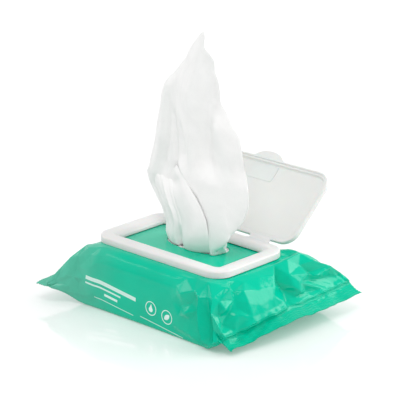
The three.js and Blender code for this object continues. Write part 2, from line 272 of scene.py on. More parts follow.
def facets(grid, n, a, s, points, box, spacing, height, keep_off, seed):
    """The film as flat triangles between set fold points and loose random ones."""
    rng = np.random.default_rng(seed)
    a0, a1, s0, s1 = box
    loose, border = 0.4, 6
    nodes = [tuple(p) for p in points]
    for row, pa in enumerate(np.arange(a0, a1 + 0.1, spacing[0])):
        for ps in np.arange(s0 + (row % 2) * spacing[1] / 2, s1 + 0.1, spacing[1]):
            qa = pa + rng.uniform(-loose, loose) * spacing[0]
            qs = ps + rng.uniform(-loose, loose) * spacing[1]
            if all((qa - f[0]) ** 2 + (qs - f[1]) ** 2 > keep_off ** 2 for f in points):
                nodes.append((qa, qs, rng.uniform(-height, height)))
    a0, a1, s0, s1 = a0 - border, a1 + border, s0 - border, s1 + border
    nodes += [(pa, ps, 0.0) for pa in np.arange(a0, a1 + 1, border) for ps in (s0, s1)]
    nodes += [(pa, ps, 0.0) for ps in np.arange(s0, s1 + 1, border) for pa in (a0, a1)]
    where = np.array(nodes)
    place = film_places(grid, a, s, where) + film_places(n, a, s, where) * where[:, 2:]
    flat = [Vector((p[0], p[1])) for p in nodes]
    _, _, faces, source, _, _ = geometry.delaunay_2d_cdt(flat, [], [], 0, 1e-5)
    aa, ss = flat_places(a, s)
    out = grid.copy()
    for face in faces:
        ids = [source[k][0] for k in face]
        p, q, r = where[ids, :2]
        low, high = np.minimum(np.minimum(p, q), r), np.maximum(np.maximum(p, q), r)
        near = (aa >= low[0]) & (aa <= high[0]) & (ss >= low[1]) & (ss <= high[1])
        det = (q[1] - r[1]) * (p[0] - r[0]) + (r[0] - q[0]) * (p[1] - r[1])
        if abs(det) < 1e-9 or not near.any():
            continue
        da, ds = aa[near] - r[0], ss[near] - r[1]
        u = ((q[1] - r[1]) * da + (r[0] - q[0]) * ds) / det
        v = ((r[1] - p[1]) * da + (p[0] - r[0]) * ds) / det
        w = 1 - u - v
        inside = (u >= -1e-6) & (v >= -1e-6) & (w >= -1e-6)
        flat_place = sum(share[:, None] * place[k] for share, k in zip((u, v, w), ids))
        values = out[near]
        values[inside] = flat_place[inside]
        out[near] = values
    return out


def waver(t, seed, scale):
    """A smooth seeded wander between -1 and 1 along t."""
    rng = np.random.default_rng(seed)
    phase = rng.uniform(0, 2 * np.pi, 4)
    rate = scale * np.array([1.0, 1.73, 2.61, 3.87])
    weight = np.array([0.45, 0.3, 0.16, 0.09])
    return sum(w * np.sin(r * t + p) for w, r, p in zip(weight, rate, phase))


def pleats(a, s, seal, reach, pitch, height, seed):
    """Gathers that run into a seal: sharp folds across the film that fade with distance from it."""
    away = np.abs(a - seal)
    lean = s + 0.25 * away * waver(s, seed, 0.11)
    phase = lean / pitch + 0.8 * waver(lean, seed + 1, 0.16)
    fold = 2 * np.abs(2 * (phase - np.floor(phase + 0.5))) - 1
    size = 0.55 + 0.45 * waver(s, seed + 2, 0.23)
    return height * fold * size * np.exp(-away / reach)


def crumpled_film(grid, a, s):
    """The pouch as it lies: facets at the right end, soft folds at the left, gathers at the seals."""
    n = grid_normals(grid)
    aa, ss = flat_places(a, s)
    x, y, z = grid[..., 0], grid[..., 1], grid[..., 2]
    under = ease((z - 37.5) / 2) * ease((60.5 - np.abs(x)) / 4) * ease((37.5 - np.abs(y)) / 4)
    flat_under = (n[..., 2] < -0.9) & (z < 12) & (np.abs(aa) < 86)
    free = (1 - under) * np.where(flat_under, 0.25, 1.0) * ease((z + 0.2) / 2.0)
    depth = bpy.context.scene.wipes_pouch.fold_depth
    deep = [(p[0], p[1], p[2] * depth) for p in FOLD_POINTS]
    shown = ease((ss + 15) / 5) * ease((129 - ss) / 6)
    right = facets(
        grid, n, a, s, deep,
        box=(26, 92, -12, 126), spacing=(12.5, 9.5), height=0.8, keep_off=7, seed=11,
    )
    share = ease((aa - 24) / 9) * ease((92.5 - aa) / 3) * shown * free
    out = grid + (right + 0.5 * n - grid) * share[..., None]
    left = facets(
        grid, n, a, s, LEFT_FOLD_POINTS,
        box=(-86, -40, -12, 126), spacing=(13, 10), height=0.6, keep_off=6, seed=37,
    )
    share = 1.1 * ease((-aa - 36) / 8) * ease((86 + aa) / 3) * shown * free
    out = out + (left + 0.8 * n - grid) * share[..., None]
    gather = pleats(aa, ss, seal=90, reach=8, pitch=6.5, height=0.7, seed=5)
    gather *= ease((aa - 60) / 16) * ease((92.5 - aa) / 3)
    left_gather = pleats(aa, ss, seal=-84, reach=8, pitch=7.5, height=0.6, seed=8)
    gather += left_gather * ease((-aa - 50) / 20) * ease((86.5 + aa) / 3)
    soft = 0.3 * waver(aa + 0.4 * ss, 3, 0.09) * waver(ss - 0.2 * aa, 4, 0.13)
    puff = 4.6 * np.exp(-(((aa - 59) / 13) ** 2) - ((ss - 97) / 16) ** 2) * ease((93 - aa) / 12)
    out = out + n * ((gather + soft + puff) * free)[..., None]
    lift = ((out - grid) * n).sum(axis=2)
    deepest = -0.9 - 5.0 * ease((np.abs(x) - 53) / 8)
    out = out + n * (np.maximum(lift, deepest) - lift)[..., None]
    out = seal_waves(out, aa)
    out[..., 2] = np.maximum(out[..., 2], 0.0)
    return out


def seal_waves(points, aa):
    """The welded bands waver along their length, most at the sagging front half of the right one."""
    out = points.copy()
    y = points[..., 1]
    right, left = ease((aa - 86) / 5), ease((-aa - 82) / 5)
    near = 0.45 + 0.75 * ease((12 - y) / 30)
    lift = right * near * (0.7 * waver(y, 21, 0.21) + 0.35 * waver(y, 22, 0.62))
    lift += 0.6 * left * waver(y, 23, 0.16)
    out[..., 2] += lift + 0.2 * right * near * np.sin(0.9 * aa + 0.35 * y)
    out[..., 0] += right * 0.5 * waver(y, 24, 0.3) - left * 0.4 * waver(y, 25, 0.3)
    return out


# ---- mesh helpers ----


def new_piece(name, points, faces, edges=()):
    """A smooth mesh object at the origin from points in millimetres."""
    mesh = bpy.data.meshes.new(name)
    mesh.from_pydata([tuple(p) for p in np.asarray(points, float) * MM], edges, faces)
    mesh.validate()
    mesh.update()
    piece = bpy.data.objects.new(name, mesh)
    bpy.context.scene.collection.objects.link(piece)
    mesh.shade_smooth()
    return piece


def face_outwards(piece, gap=1e-6):
    """Joins points closer than the gap, and makes the faces agree and point outwards."""
    bm = bmesh.new()
    bm.from_mesh(piece.data)
    bmesh.ops.remove_doubles(bm, verts=bm.verts, dist=gap)
    bmesh.ops.recalc_face_normals(bm, faces=bm.faces)
    bm.to_mesh(piece.data)
    bm.free()


def bake_modifiers(piece):
    """Applies the modifiers by taking the evaluated mesh, and leaves none on the piece."""
    graph = bpy.context.evaluated_depsgraph_get()
    graph.update()
    mesh = bpy.data.meshes.new_from_object(piece.evaluated_get(graph))
    piece.modifiers.clear()
    old = piece.data
    piece.data = mesh
    bpy.data.meshes.remove(old)


def grid_faces(rows, columns, closed=False):
    """Quads of a grid of rows by columns, the columns joined round when closed."""
    out = []
    last = columns if closed else columns - 1
    for i in range(rows - 1):
        for j in range(last):
            k = (j + 1) % columns
            a, b = i * columns, (i + 1) * columns
            out.append((a + j, b + j, b + k, a + k))
    return out


def rounded_loop(hx, hy, r, z, per_corner, cy):
    """A rounded rectangle at one height, centred at y cy, anticlockwise from above."""
    out = []
    for sx, sy, start in ((1, 1, 0), (-1, 1, 90), (-1, -1, 180), (1, -1, 270)):
        for k in range(per_corner + 1):
            t = math.radians(start + 90 * k / per_corner)
            out.append((sx * (hx - r) + r * math.cos(t), cy + sy * (hy - r) + r * math.sin(t), z))
    return out


def assign(piece, material):
    """Gives a piece its material and nothing else."""
    piece.data.materials.clear()
    piece.data.materials.append(material)


# ---- shader helpers ----


class Nodes:
    """Short names for building a node tree."""

    def __init__(self, tree):
        self.tree = tree

    def add(self, kind, inputs=None, **settings):
        """A new node with its settings and its inputs, each a value or a socket to link."""
        node = self.tree.nodes.new(kind)
        for key, value in settings.items():
            setattr(node, key, value)
        for key, value in (inputs or {}).items():
            self.put(node.inputs[key], value)
        return node

    def put(self, socket, value):
        """Sets a socket, or links another socket to it."""
        if isinstance(value, bpy.types.NodeSocket):
            self.tree.links.new(value, socket)
        else:
            socket.default_value = value

    def math(self, operation, a, b=0.0, c=0.0):
        """The result of one sum on values or sockets."""
        node = self.add("ShaderNodeMath", operation=operation)
        for socket, value in zip(node.inputs, (a, b, c)):
            self.put(socket, value)
        return node.outputs[0]

    def mix(self, factor, a, b):
        """One colour blended into another."""
        node = self.add("ShaderNodeMix", data_type="RGBA")
        self.put(node.inputs[0], factor)
        self.put(node.inputs[6], a)
        self.put(node.inputs[7], b)
        return node.outputs[2]

    def span(self, value, low, high, to_low=0.0, to_high=1.0):
        """A value eased from one range to another, and held at its ends."""
        node = self.add("ShaderNodeMapRange", interpolation_type="SMOOTHSTEP")
        for key, v in zip(node.inputs[:5], (value, low, high, to_low, to_high)):
            self.put(key, v)
        return node.outputs[0]


def shader_group(name, inputs, outputs):
    """An empty shader node group with named sockets."""
    group = bpy.data.node_groups.new(name, "ShaderNodeTree")
    for label, kind, value in inputs:
        socket = group.interface.new_socket(label, in_out="INPUT", socket_type=kind)
        if value is not None:
            socket.default_value = value
    for label, kind in outputs:
        group.interface.new_socket(label, in_out="OUTPUT", socket_type=kind)
    nodes = Nodes(group)
    return group, nodes, nodes.add("NodeGroupInput"), nodes.add("NodeGroupOutput")


def new_material(name):
    """A material with an empty tree, its Principled shader and its output."""
    material = bpy.data.materials.new(name)
    material.use_nodes = True
    material.node_tree.nodes.clear()
    nodes = Nodes(material.node_tree)
    shader = nodes.add("ShaderNodeBsdfPrincipled")
    out = nodes.add("ShaderNodeOutputMaterial")
    nodes.put(out.inputs[0], shader.outputs[0])
    where = nodes.add("ShaderNodeTexCoord").outputs["Object"]
    return material, nodes, shader, where


def place_group(nodes, group, **values):
    """Puts a group in a material with its own values."""
    node = nodes.add("ShaderNodeGroup")
    node.node_tree = group
    for key, value in values.items():
        nodes.put(node.inputs[key.replace("_", " ")], value)
    return node


def made_once(kind, usual):
    """Marks a function that makes a data block by name: each name is made once and then used again."""

    def mark(make):
        @functools.wraps(make)
        def find_or_make(name=usual, **given):
            return getattr(bpy.data, kind).get(name) or make(name, **given)

        return find_or_make

    return mark


# ---- shared finishes ----

PLACE = ("Place", "NodeSocketVector", None)
PER_METRE = 1000.0


@made_once("node_groups", "patchy tone")
def patchy_tone(name):
    """Slow patchy change of tone, used by the film, the plastic and the wipes."""
    group, n, given, out = shader_group(
        name,
        [
            PLACE,
            ("Colour", "NodeSocketColor", (1, 1, 1, 1)),
            ("Patch Size", "NodeSocketFloat", 10.0),
            ("Amount", "NodeSocketFloat", 0.05),
        ],
        [("Colour", "NodeSocketColor"), ("Mask", "NodeSocketFloat")],
    )
    scale = n.math("DIVIDE", PER_METRE, given.outputs["Patch Size"])
    noise = n.add("ShaderNodeTexNoise", {"Vector": given.outputs["Place"], "Scale": scale, "Detail": 3.0})
    mask = n.span(noise.outputs["Fac"], 0.34, 0.66)
    mix = n.add("ShaderNodeMix", data_type="RGBA", blend_type="MULTIPLY")
    n.put(mix.inputs[0], n.math("MULTIPLY", mask, given.outputs["Amount"]))
    n.put(mix.inputs[6], given.outputs["Colour"])
    n.put(mix.inputs[7], (0.35, 0.35, 0.35, 1))
    n.put(out.inputs["Colour"], mix.outputs[2])
    n.put(out.inputs["Mask"], mask)
    return group


@made_once("node_groups", "nonwoven fibres")
def nonwoven(name):
    """Tangled fibres pressed into a faint cross pattern: a height and a thin-spot mask."""
    group, n, given, out = shader_group(
        name,
        [PLACE, ("Fibre Size", "NodeSocketFloat", 0.5), ("Cross Spacing", "NodeSocketFloat", 1.4)],
        [("Height", "NodeSocketFloat"), ("Thin Spots", "NodeSocketFloat")],
    )
    place = given.outputs["Place"]
    fibre = n.math("DIVIDE", PER_METRE, given.outputs["Fibre Size"])
    tangle = n.add("ShaderNodeTexNoise", {"Vector": place, "Scale": fibre, "Detail": 4.0, "Roughness": 0.65})
    long_way = n.add("ShaderNodeMapping", {"Vector": place, "Scale": (1.0, 0.22, 1.0)})
    strands = n.add("ShaderNodeTexNoise", {"Vector": long_way.outputs[0], "Scale": fibre, "Detail": 3.0})
    split = n.add("ShaderNodeSeparateXYZ", {"Vector": place})
    turn = n.math("DIVIDE", 6283.0, given.outputs["Cross Spacing"])
    waves = []
    for way in ("ADD", "SUBTRACT"):
        slant = n.math(way, split.outputs[0], split.outputs[1])
        waves.append(n.math("SINE", n.math("MULTIPLY", slant, turn)))
    cross = n.math("MULTIPLY_ADD", n.math("MULTIPLY", *waves), 0.12, 0.5)
    height = n.math("MULTIPLY_ADD", tangle.outputs["Fac"], 0.6, cross)
    height = n.math("MULTIPLY_ADD", strands.outputs["Fac"], 0.5, height)
    n.put(out.inputs["Height"], height)
    n.put(out.inputs["Thin Spots"], n.span(strands.outputs["Fac"], 0.5, 0.72))
    return group


@made_once("node_groups", "printed rules")
def printed_rules(name):
    """White rules, a drop and a leaf in rings, on the pouch's front: one mask."""
    group, n, given, out = shader_group(name, [PLACE], [("Mask", "NodeSocketFloat")])
    split = n.add("ShaderNodeSeparateXYZ", {"Vector": given.outputs["Place"]})
    x = n.math("MULTIPLY", split.outputs[0], PER_METRE)
    z = n.math("MULTIPLY", split.outputs[2], PER_METRE)
    slant, soft = math.radians(6.5), 0.12
    c, s = math.cos(slant), math.sin(slant)
    u = n.math("MULTIPLY_ADD", x, c, n.math("MULTIPLY", z, -s))
    v = n.math("MULTIPLY_ADD", x, s, n.math("MULTIPLY", z, c))

    def near(cu, cv):
        du, dv = n.math("SUBTRACT", u, cu), n.math("SUBTRACT", v, cv)
        squared = n.math("MULTIPLY_ADD", du, du, n.math("MULTIPLY", dv, dv))
        return n.math("SQRT", squared)

    def rule(u0, u1, cv, thick, strength=1.0):
        du = n.math("SUBTRACT", n.math("ABSOLUTE", n.math("SUBTRACT", u, (u0 + u1) / 2)), (u1 - u0) / 2)
        dv = n.math("SUBTRACT", n.math("ABSOLUTE", n.math("SUBTRACT", v, cv)), thick / 2)
        return n.span(n.math("MAXIMUM", du, dv), soft, -soft, 0.0, strength)

    def ring(cu, cv, r, thick):
        off = n.math("ABSOLUTE", n.math("SUBTRACT", near(cu, cv), r))
        return n.span(off, thick / 2 + soft, thick / 2 - soft)

    def leaf(cu, cv, r, apart):
        both = n.math("MAXIMUM", near(cu - apart, cv + apart), near(cu + apart, cv - apart))
        return n.span(both, r + soft, r - soft)

    def drop(cu, cv, r):
        ball = n.span(near(cu, cv), r + soft, r - soft)
        side = n.math("ABSOLUTE", n.math("SUBTRACT", u, cu))
        slope = n.math("MULTIPLY_ADD", n.math("SUBTRACT", v, cv), 0.42, side)
        body = n.span(slope, r + 0.05, r - 0.15)
        return n.math("MAXIMUM", ball, n.math("MULTIPLY", body, n.span(v, cv - 0.1, cv + 0.1)))

    shapes = [
        rule(-50.5, -6.5, 15.6, 2.6, 0.85),
        rule(-50.5, -20.0, 11.9, 1.2, 0.8),
        rule(-34.5, -22.5, 8.2, 1.7, 0.9),
        rule(-42.8, -7.8, 3.9, 0.55, 0.7),
        rule(-1.6, 36.5, 5.8, 0.55, 0.7),
        ring(7.2, 14.9, 4.5, 0.55),
        drop(7.2, 14.1, 1.7),
        ring(21.6, 14.4, 4.5, 0.55),
        leaf(21.6, 14.4, 3.5, 1.35),
    ]
    total = functools.reduce(lambda one, two: n.math("MAXIMUM", one, two), shapes)
    front = n.span(split.outputs[1], -0.036, -0.039)
    n.put(out.inputs["Mask"], n.math("MULTIPLY", total, front))
    return group


@made_once("materials", "printed film")
def film_material(name):
    """Glossy printed film: green fading to a greyer green at the left end, a painted reflection standing in for the
    haze on that end; white rules, fine wrinkles.
    """
    given = bpy.context.scene.wipes_pouch
    material, n, shader, where = new_material(name)
    split = n.add("ShaderNodeSeparateXYZ", {"Vector": where})
    # Painted reflection: towards the left end the green is blended into a paler, greyer colour that stands in for
    # the hazy sheen there; random patches of tone are added on top.
    along = n.span(split.outputs[0], -0.075, -0.016)
    tone_with_painted_haze = n.mix(along, (*given.painted_haze, 1), (*given.green, 1))
    tone_with_painted_haze = place_group(n, patchy_tone(), Place=where, Colour=tone_with_painted_haze, Patch_Size=26.0, Amount=0.09)
    marks = place_group(n, printed_rules(), Place=where)
    tone = n.mix(marks.outputs["Mask"], tone_with_painted_haze.outputs["Colour"], (0.72, 0.9, 0.84, 1))
    n.put(shader.inputs["Base Color"], tone)
    wide = n.add("ShaderNodeTexNoise", {"Vector": where, "Scale": 210.0, "Detail": 2.0})
    fine = n.add("ShaderNodeTexNoise", {"Vector": where, "Scale": 900.0, "Detail": 2.0})
    far = n.math("ABSOLUTE", split.outputs[0])
    loose = n.span(far, 0.035, 0.066, 0.25, 1.0)
    height = n.math("MULTIPLY_ADD", fine.outputs["Fac"], 0.12, wide.outputs["Fac"])
    height = n.math("MULTIPLY", height, loose)
    bump = n.add("ShaderNodeBump", {"Strength": 0.3, "Distance": 0.0007, "Height": height})
    n.put(shader.inputs["Normal"], bump.outputs[0])
    rough = n.math("MULTIPLY_ADD", tone_with_painted_haze.outputs["Mask"], 0.07, given.gloss_roughness)
    n.put(shader.inputs["Roughness"], rough)
    shader.inputs["IOR"].default_value = 1.45
    shader.inputs["Specular IOR Level"].default_value = 0.27
    return material


@made_once("materials", "moulded white plastic")
def plastic_material(name, warm=0.0):
    """Moulded white plastic: satin, with the faintest grain."""
    given = bpy.context.scene.wipes_plastic
    material, n, shader, where = new_material(name)
    colour = (given.white[0] - 0.02 * warm, given.white[1], given.white[2] - 0.01 * warm, 1)
    tone = place_group(n, patchy_tone(), Place=where, Colour=colour, Patch_Size=18.0, Amount=0.03)
    n.put(shader.inputs["Base Color"], tone.outputs["Colour"])
    grain = n.add("ShaderNodeTexNoise", {"Vector": where, "Scale": 1400.0, "Detail": 2.0})
    bump = n.add("ShaderNodeBump", {"Strength": 0.12, "Distance": 0.0002, "Height": grain.outputs["Fac"]})
    n.put(shader.inputs["Normal"], bump.outputs[0])
    n.put(shader.inputs["Roughness"], n.math("MULTIPLY_ADD", tone.outputs["Mask"], 0.08, 0.3))
    shader.inputs["IOR"].default_value = 1.49
    shader.inputs["Subsurface Weight"].default_value = 0.12
    shader.inputs["Subsurface Scale"].default_value = 0.002
    return material


@made_once("materials", "nonwoven fabric")
def wipe_material(name, by_map=False):
    """Soft white nonwoven: matt, fibres in the bump."""
    given = bpy.context.scene.wipes_fabric
    material, n, shader, where = new_material(name)
    if by_map:
        place = n.add("ShaderNodeUVMap", uv_map="UVMap").outputs[0]
    else:
        place = where
    fibres = place_group(n, nonwoven(), Place=place, Fibre_Size=0.6, Cross_Spacing=2.2)
    white = (*given.white, 1)
    colour = place_group(n, patchy_tone(), Place=place, Colour=white, Patch_Size=9.0, Amount=0.035)
    thin = n.math("MULTIPLY", fibres.outputs["Thin Spots"], 0.10)
    n.put(shader.inputs["Base Color"], n.mix(thin, colour.outputs["Colour"], (0.70, 0.74, 0.73, 1)))
    bump = n.add("ShaderNodeBump", {"Strength": 0.3, "Distance": 0.0003, "Height": fibres.outputs["Height"]})
    n.put(shader.inputs["Normal"], bump.outputs[0])
    shader.inputs["Roughness"].default_value = 0.85
    shader.inputs["Sheen Weight"].default_value = 0.12
    shader.inputs["Sheen Roughness"].default_value = 0.5
    shader.inputs["Specular IOR Level"].default_value = 0.25
    return material


# ---- pouch ----

HOLE_X, HOLE_Y = -0.3, 8.5
HOLE_POWER = 2.5

# Rings of the inner wall below the opening: half length, half width, z, how far the middle
# keeps the opening's offset, and squareness.
INNER_WALL = (
    (45, 30, 40.1, 0.2, 5), (51, 34, 38.8, 0, 6), (55, 37, 34, 0, 6), (57, 39.5, 26, 0, 6),
    (57, 40.5, 12, 0, 6), (56, 39.5, 5, 0, 6), (53, 37, 1.6, 0, 6), (48, 32, 0.8, 0, 6), (24, 16, 0.8, 0, 4),
)


def hole_radius(angle, half_x, half_y, power=HOLE_POWER):
    """Distance from the middle of an oval opening to its edge, at an angle."""
    c, s = np.abs(np.cos(angle)), np.abs(np.sin(angle))
    return ((c / half_x) ** power + (s / half_y) ** power) ** (-1 / power)


def cut_opening(film, half_x, half_y):
    """The film's points, drawn to the opening's edge where close to it, and its faces outside the opening."""
    points = film.reshape(-1, 3).copy()
    top, reach_most, close = 40, 60, 0.42
    dx, dy = points[:, 0] - HOLE_X, points[:, 1] - HOLE_Y
    angle, reach = np.arctan2(dy, dx), np.hypot(dx, dy)
    rim = hole_radius(angle, half_x, half_y)
    snap = (points[:, 2] > top) & (reach < reach_most) & (np.abs(reach - rim) < close)
    points[snap, 0] = HOLE_X + rim[snap] * np.cos(angle[snap])
    points[snap, 1] = HOLE_Y + rim[snap] * np.sin(angle[snap])
    rows, cols = film.shape[:2]
    faces = []
    for face in grid_faces(rows, cols, closed=True):
        x, y, z = points[list(face)].mean(axis=0) - [HOLE_X, HOLE_Y, 0]
        inside = math.hypot(x, y) < hole_radius(math.atan2(y, x), half_x, half_y)
        if not (z > top and inside):
            faces.append(face)
    faces.append(tuple(range(cols)))
    faces.append(tuple(range((rows - 1) * cols, rows * cols))[::-1])
    return points, faces


def edge_loop(bm):
    """The points round the one open edge of a mesh, in order."""
    edge = {v for e in bm.edges if e.is_boundary for v in e.verts}
    loop = [min(edge, key=lambda v: v.index)]
    seen = set(loop)
    while True:
        last = loop[-1]
        beside = [e.other_vert(last) for e in last.link_edges if e.is_boundary]
        after = [v for v in beside if v not in seen]
        if not after:
            return loop
        loop.append(after[0])
        seen.add(after[0])


def add_inner_wall(bm, half_x, half_y):
    """Closes the pouch with an inner wall that starts at the opening's edge."""
    previous = edge_loop(bm)
    turns = [math.atan2(v.co.y / MM - HOLE_Y, v.co.x / MM - HOLE_X) for v in previous]
    lip = ((half_x, half_y, 40.55, 1.0, 2.5), (half_x + 3, half_y + 2, 40.3, 0.9, 2.6))
    for hx, hy, z, share, power in lip + INNER_WALL:
        ring = []
        for turn in turns:
            r = hole_radius(turn, hx, hy, power)
            x = share * HOLE_X + r * math.cos(turn)
            y = share * HOLE_Y + r * math.sin(turn)
            ring.append(bm.verts.new((x * MM, y * MM, z * MM)))
        for k in range(len(ring)):
            j = (k + 1) % len(ring)
            bm.faces.new((previous[k], previous[j], ring[j], ring[k]))
        previous = ring
    hub = bm.verts.new((0, 0, INNER_WALL[-1][2] * MM))
    for k in range(len(previous)):
        bm.faces.new((previous[k], previous[(k + 1) % len(previous)], hub))


def build_pouch(film):
    """The film pouch with its die-cut opening, and an inner wall joined at the opening's edge."""
    given = bpy.context.scene.wipes_pouch
    half_x, half_y = given.opening_length / MM / 2, given.opening_width / MM / 2
    pouch = new_piece("pouch_film", *cut_opening(film, half_x, half_y))
    bm = bmesh.new()
    bm.from_mesh(pouch.data)
    bmesh.ops.delete(bm, geom=[v for v in bm.verts if not v.link_faces], context="VERTS")
    bmesh.ops.triangulate(bm, faces=[f for f in bm.faces if len(f.verts) > 4])
    add_inner_wall(bm, half_x, half_y)
    bmesh.ops.recalc_face_normals(bm, faces=bm.faces)
    for f in bm.faces:
        f.smooth = True
    for e in bm.edges:
        if len(e.link_faces) == 2 and e.calc_face_angle() > 0.9:
            e.smooth = False
    bm.to_mesh(pouch.data)
    bm.free()
    return pouch


# ---- crimped seals ----

OUTER_EDGE = "outer_edge"
# Columns of the film grid that lie on the upper and on the lower face of a seal.
UPPER_COLUMNS, LOWER_COLUMNS = slice(9, 165, 2), slice(182, 256, 2)
EDGE_COLUMNS = slice(6, 168, 2)


@made_once("node_groups", "crimped seal")
def crimp_tree(name):
    """Geometry Nodes: ribs swept along the inner paths, and a row of teeth along the outer edge path."""
    tree = bpy.data.node_groups.new(name, "GeometryNodeTree")
    sockets = tree.interface
    sockets.new_socket("Paths", in_out="INPUT", socket_type="NodeSocketGeometry")
    for label, value in (
        ("Rib Radius", 0.0003), ("Tooth Spacing", 0.0016), ("Tooth Length", 0.0012), ("Tooth Flatness", 0.35),
    ):
        sockets.new_socket(label, in_out="INPUT", socket_type="NodeSocketFloat").default_value = value
    sockets.new_socket("Tooth Turn", in_out="INPUT", socket_type="NodeSocketVector")
    sockets.new_socket("Seed", in_out="INPUT", socket_type="NodeSocketInt").default_value = 4
    sockets.new_socket("Film", in_out="INPUT", socket_type="NodeSocketMaterial")
    sockets.new_socket("Seal", in_out="OUTPUT", socket_type="NodeSocketGeometry")
    n = Nodes(tree)
    given, out = n.add("NodeGroupInput"), n.add("NodeGroupOutput")
    which = n.add("GeometryNodeInputNamedAttribute", {"Name": OUTER_EDGE}, data_type="BOOLEAN")
    apart = n.add("GeometryNodeSeparateGeometry", {"Geometry": given.outputs["Paths"]}, domain="EDGE")
    n.put(apart.inputs["Selection"], which.outputs["Attribute"])
    rails = n.add("GeometryNodeMeshToCurve", {"Mesh": apart.outputs["Inverted"]})
    round_wire = n.add("GeometryNodeCurvePrimitiveCircle", {"Resolution": 5})
    n.put(round_wire.inputs["Radius"], given.outputs["Rib Radius"])
    ribs = n.add("GeometryNodeCurveToMesh", {"Curve": rails.outputs[0], "Fill Caps": True})
    n.put(ribs.inputs["Profile Curve"], round_wire.outputs["Curve"])
    edge = n.add("GeometryNodeMeshToCurve", {"Mesh": apart.outputs["Selection"]})
    spaced = n.add("GeometryNodeResampleCurve", {"Curve": edge.outputs[0]}, mode="LENGTH")
    n.put(next(s for s in spaced.inputs if s.name == "Length"), given.outputs["Tooth Spacing"])
    half = n.math("MULTIPLY", given.outputs["Tooth Spacing"], 0.52)
    tooth = n.add(
        "GeometryNodeMeshCone",
        {"Vertices": 4, "Radius Top": 0.0, "Radius Bottom": half, "Depth": given.outputs["Tooth Length"]},
    )
    vary = n.add("FunctionNodeRandomValue", data_type="FLOAT")
    vary.inputs[2].default_value, vary.inputs[3].default_value = 0.8, 1.15
    n.put(vary.inputs["Seed"], given.outputs["Seed"])
    size = n.add("ShaderNodeCombineXYZ", {"Y": 1.0, "Z": vary.outputs[1]})
    n.put(size.inputs["X"], given.outputs["Tooth Flatness"])
    placed = n.add(
        "GeometryNodeInstanceOnPoints",
        {"Points": spaced.outputs[0], "Instance": tooth.outputs["Mesh"], "Scale": size.outputs[0]},
    )
    n.put(placed.inputs["Rotation"], given.outputs["Tooth Turn"])
    real = n.add("GeometryNodeRealizeInstances", {"Geometry": placed.outputs[0]})
    both = n.add("GeometryNodeJoinGeometry")
    tree.links.new(ribs.outputs[0], both.inputs[0])
    tree.links.new(real.outputs[0], both.inputs[0])
    smooth = n.add("GeometryNodeSetShadeSmooth", {"Geometry": both.outputs[0]})
    done = n.add("GeometryNodeRealizeInstances", {"Geometry": smooth.outputs[0]})
    painted = n.add("GeometryNodeSetMaterial", {"Geometry": done.outputs[0]})
    n.put(painted.inputs["Material"], given.outputs["Film"])
    n.put(out.inputs[0], painted.outputs[0])
    return tree


def seal_paths(film, side):
    """Rib paths on both faces of one seal, and its outer edge path, as points and edges."""
    x = film_columns()
    apart, sunk = 1.75, np.array([0, 0, 0.16])
    stops = np.arange(75.4, 84.4, apart) if side > 0 else np.arange(-79.2, -70.8, apart)
    points, edges, outer = [], [], []

    def lay(path, is_edge):
        first = len(points)
        points.extend(path)
        edges.extend((first + k, first + k + 1) for k in range(len(path) - 1))
        outer.extend([is_edge] * (len(path) - 1))

    for stop in stops:
        column = film[int(np.argmin(abs(x - stop)))]
        lay(column[UPPER_COLUMNS] - sunk, False)
        lay(column[LOWER_COLUMNS] + sunk, False)
    lay(film[-1 if side > 0 else 0, EDGE_COLUMNS] - [0.15 * side, 0, 0.25], True)
    return points, edges, outer


def build_seal(film, side):
    """One seal's ribs and teeth as a plain mesh."""
    given = bpy.context.scene.wipes_pouch
    points, edges, outer = seal_paths(film, side)
    seal = new_piece("crimped_seal_right" if side > 0 else "crimped_seal_left", points, [], edges)
    flag = seal.data.attributes.new(OUTER_EDGE, "BOOLEAN", "EDGE")
    flag.data.foreach_set("value", outer)
    tree = crimp_tree()
    modifier = seal.modifiers.new("crimp", "NODES")
    modifier.node_group = tree
    values = {
        "Rib Radius": given.rib_radius,
        "Tooth Spacing": given.tooth_spacing,
        "Tooth Length": given.tooth_length,
        "Tooth Flatness": 0.3,
        "Tooth Turn": (0.0, math.radians(90 * side), 0.0),
        "Seed": 4,
        "Film": film_material(),
    }
    for item in tree.interface.items_tree:
        if item.item_type == "SOCKET" and item.in_out == "INPUT" and item.name in values:
            modifier[item.identifier] = values[item.name]
    seal.update_tag()
    bake_modifiers(seal)
    face_outwards(seal)
    if len(seal.data.polygons) < 100:
        raise RuntimeError("the crimp came out empty")
    return seal


# ---- lid frame ----

FRAME_HALF = (56.0, 32.75)
FRAME_CORNER = 12.0
FRAME_TOP = 46.0
# Middle and length of the blocks that the hinge straps run into, on the frame and on the lid.
LUG_X, LUG_LENGTH = 31, 19.5


class Parts:
    """Collects points and faces of several shells into one mesh."""

    def __init__(self):
        self.points, self.faces = [], []

    def add(self, points, faces):
        """Adds one shell; its faces count its own points from nought."""
        first = len(self.points)
        self.points.extend([tuple(p) for p in points])
        self.faces.extend([tuple(first + k for k in f) for f in faces])

    def loops(self, rings, round_trip=False):
        """Skins loops of equal length: closed at both ends, or joined last to first on a round trip."""
        size = len(rings[0])
        last = (len(rings) - 1) * size
        faces = grid_faces(len(rings), size, closed=True)
        if round_trip:
            faces += [(last + j, j, (j + 1) % size, last + (j + 1) % size) for j in range(size)]
        else:
            faces += [tuple(range(size)), tuple(range(last, last + size))[::-1]]
        self.add([p for ring in rings for p in ring], faces)

    def lugs(self, depth, y, low, high):
        """Adds the two blocks behind the hinge straps, centred at y."""
        for side in (-LUG_X, LUG_X):
            x0, x1, y0, y1 = side - LUG_LENGTH / 2, side + LUG_LENGTH / 2, y - depth / 2, y + depth / 2
            self.loops([[(x0, y0, z), (x1, y0, z), (x1, y1, z), (x0, y1, z)] for z in (low, high)])


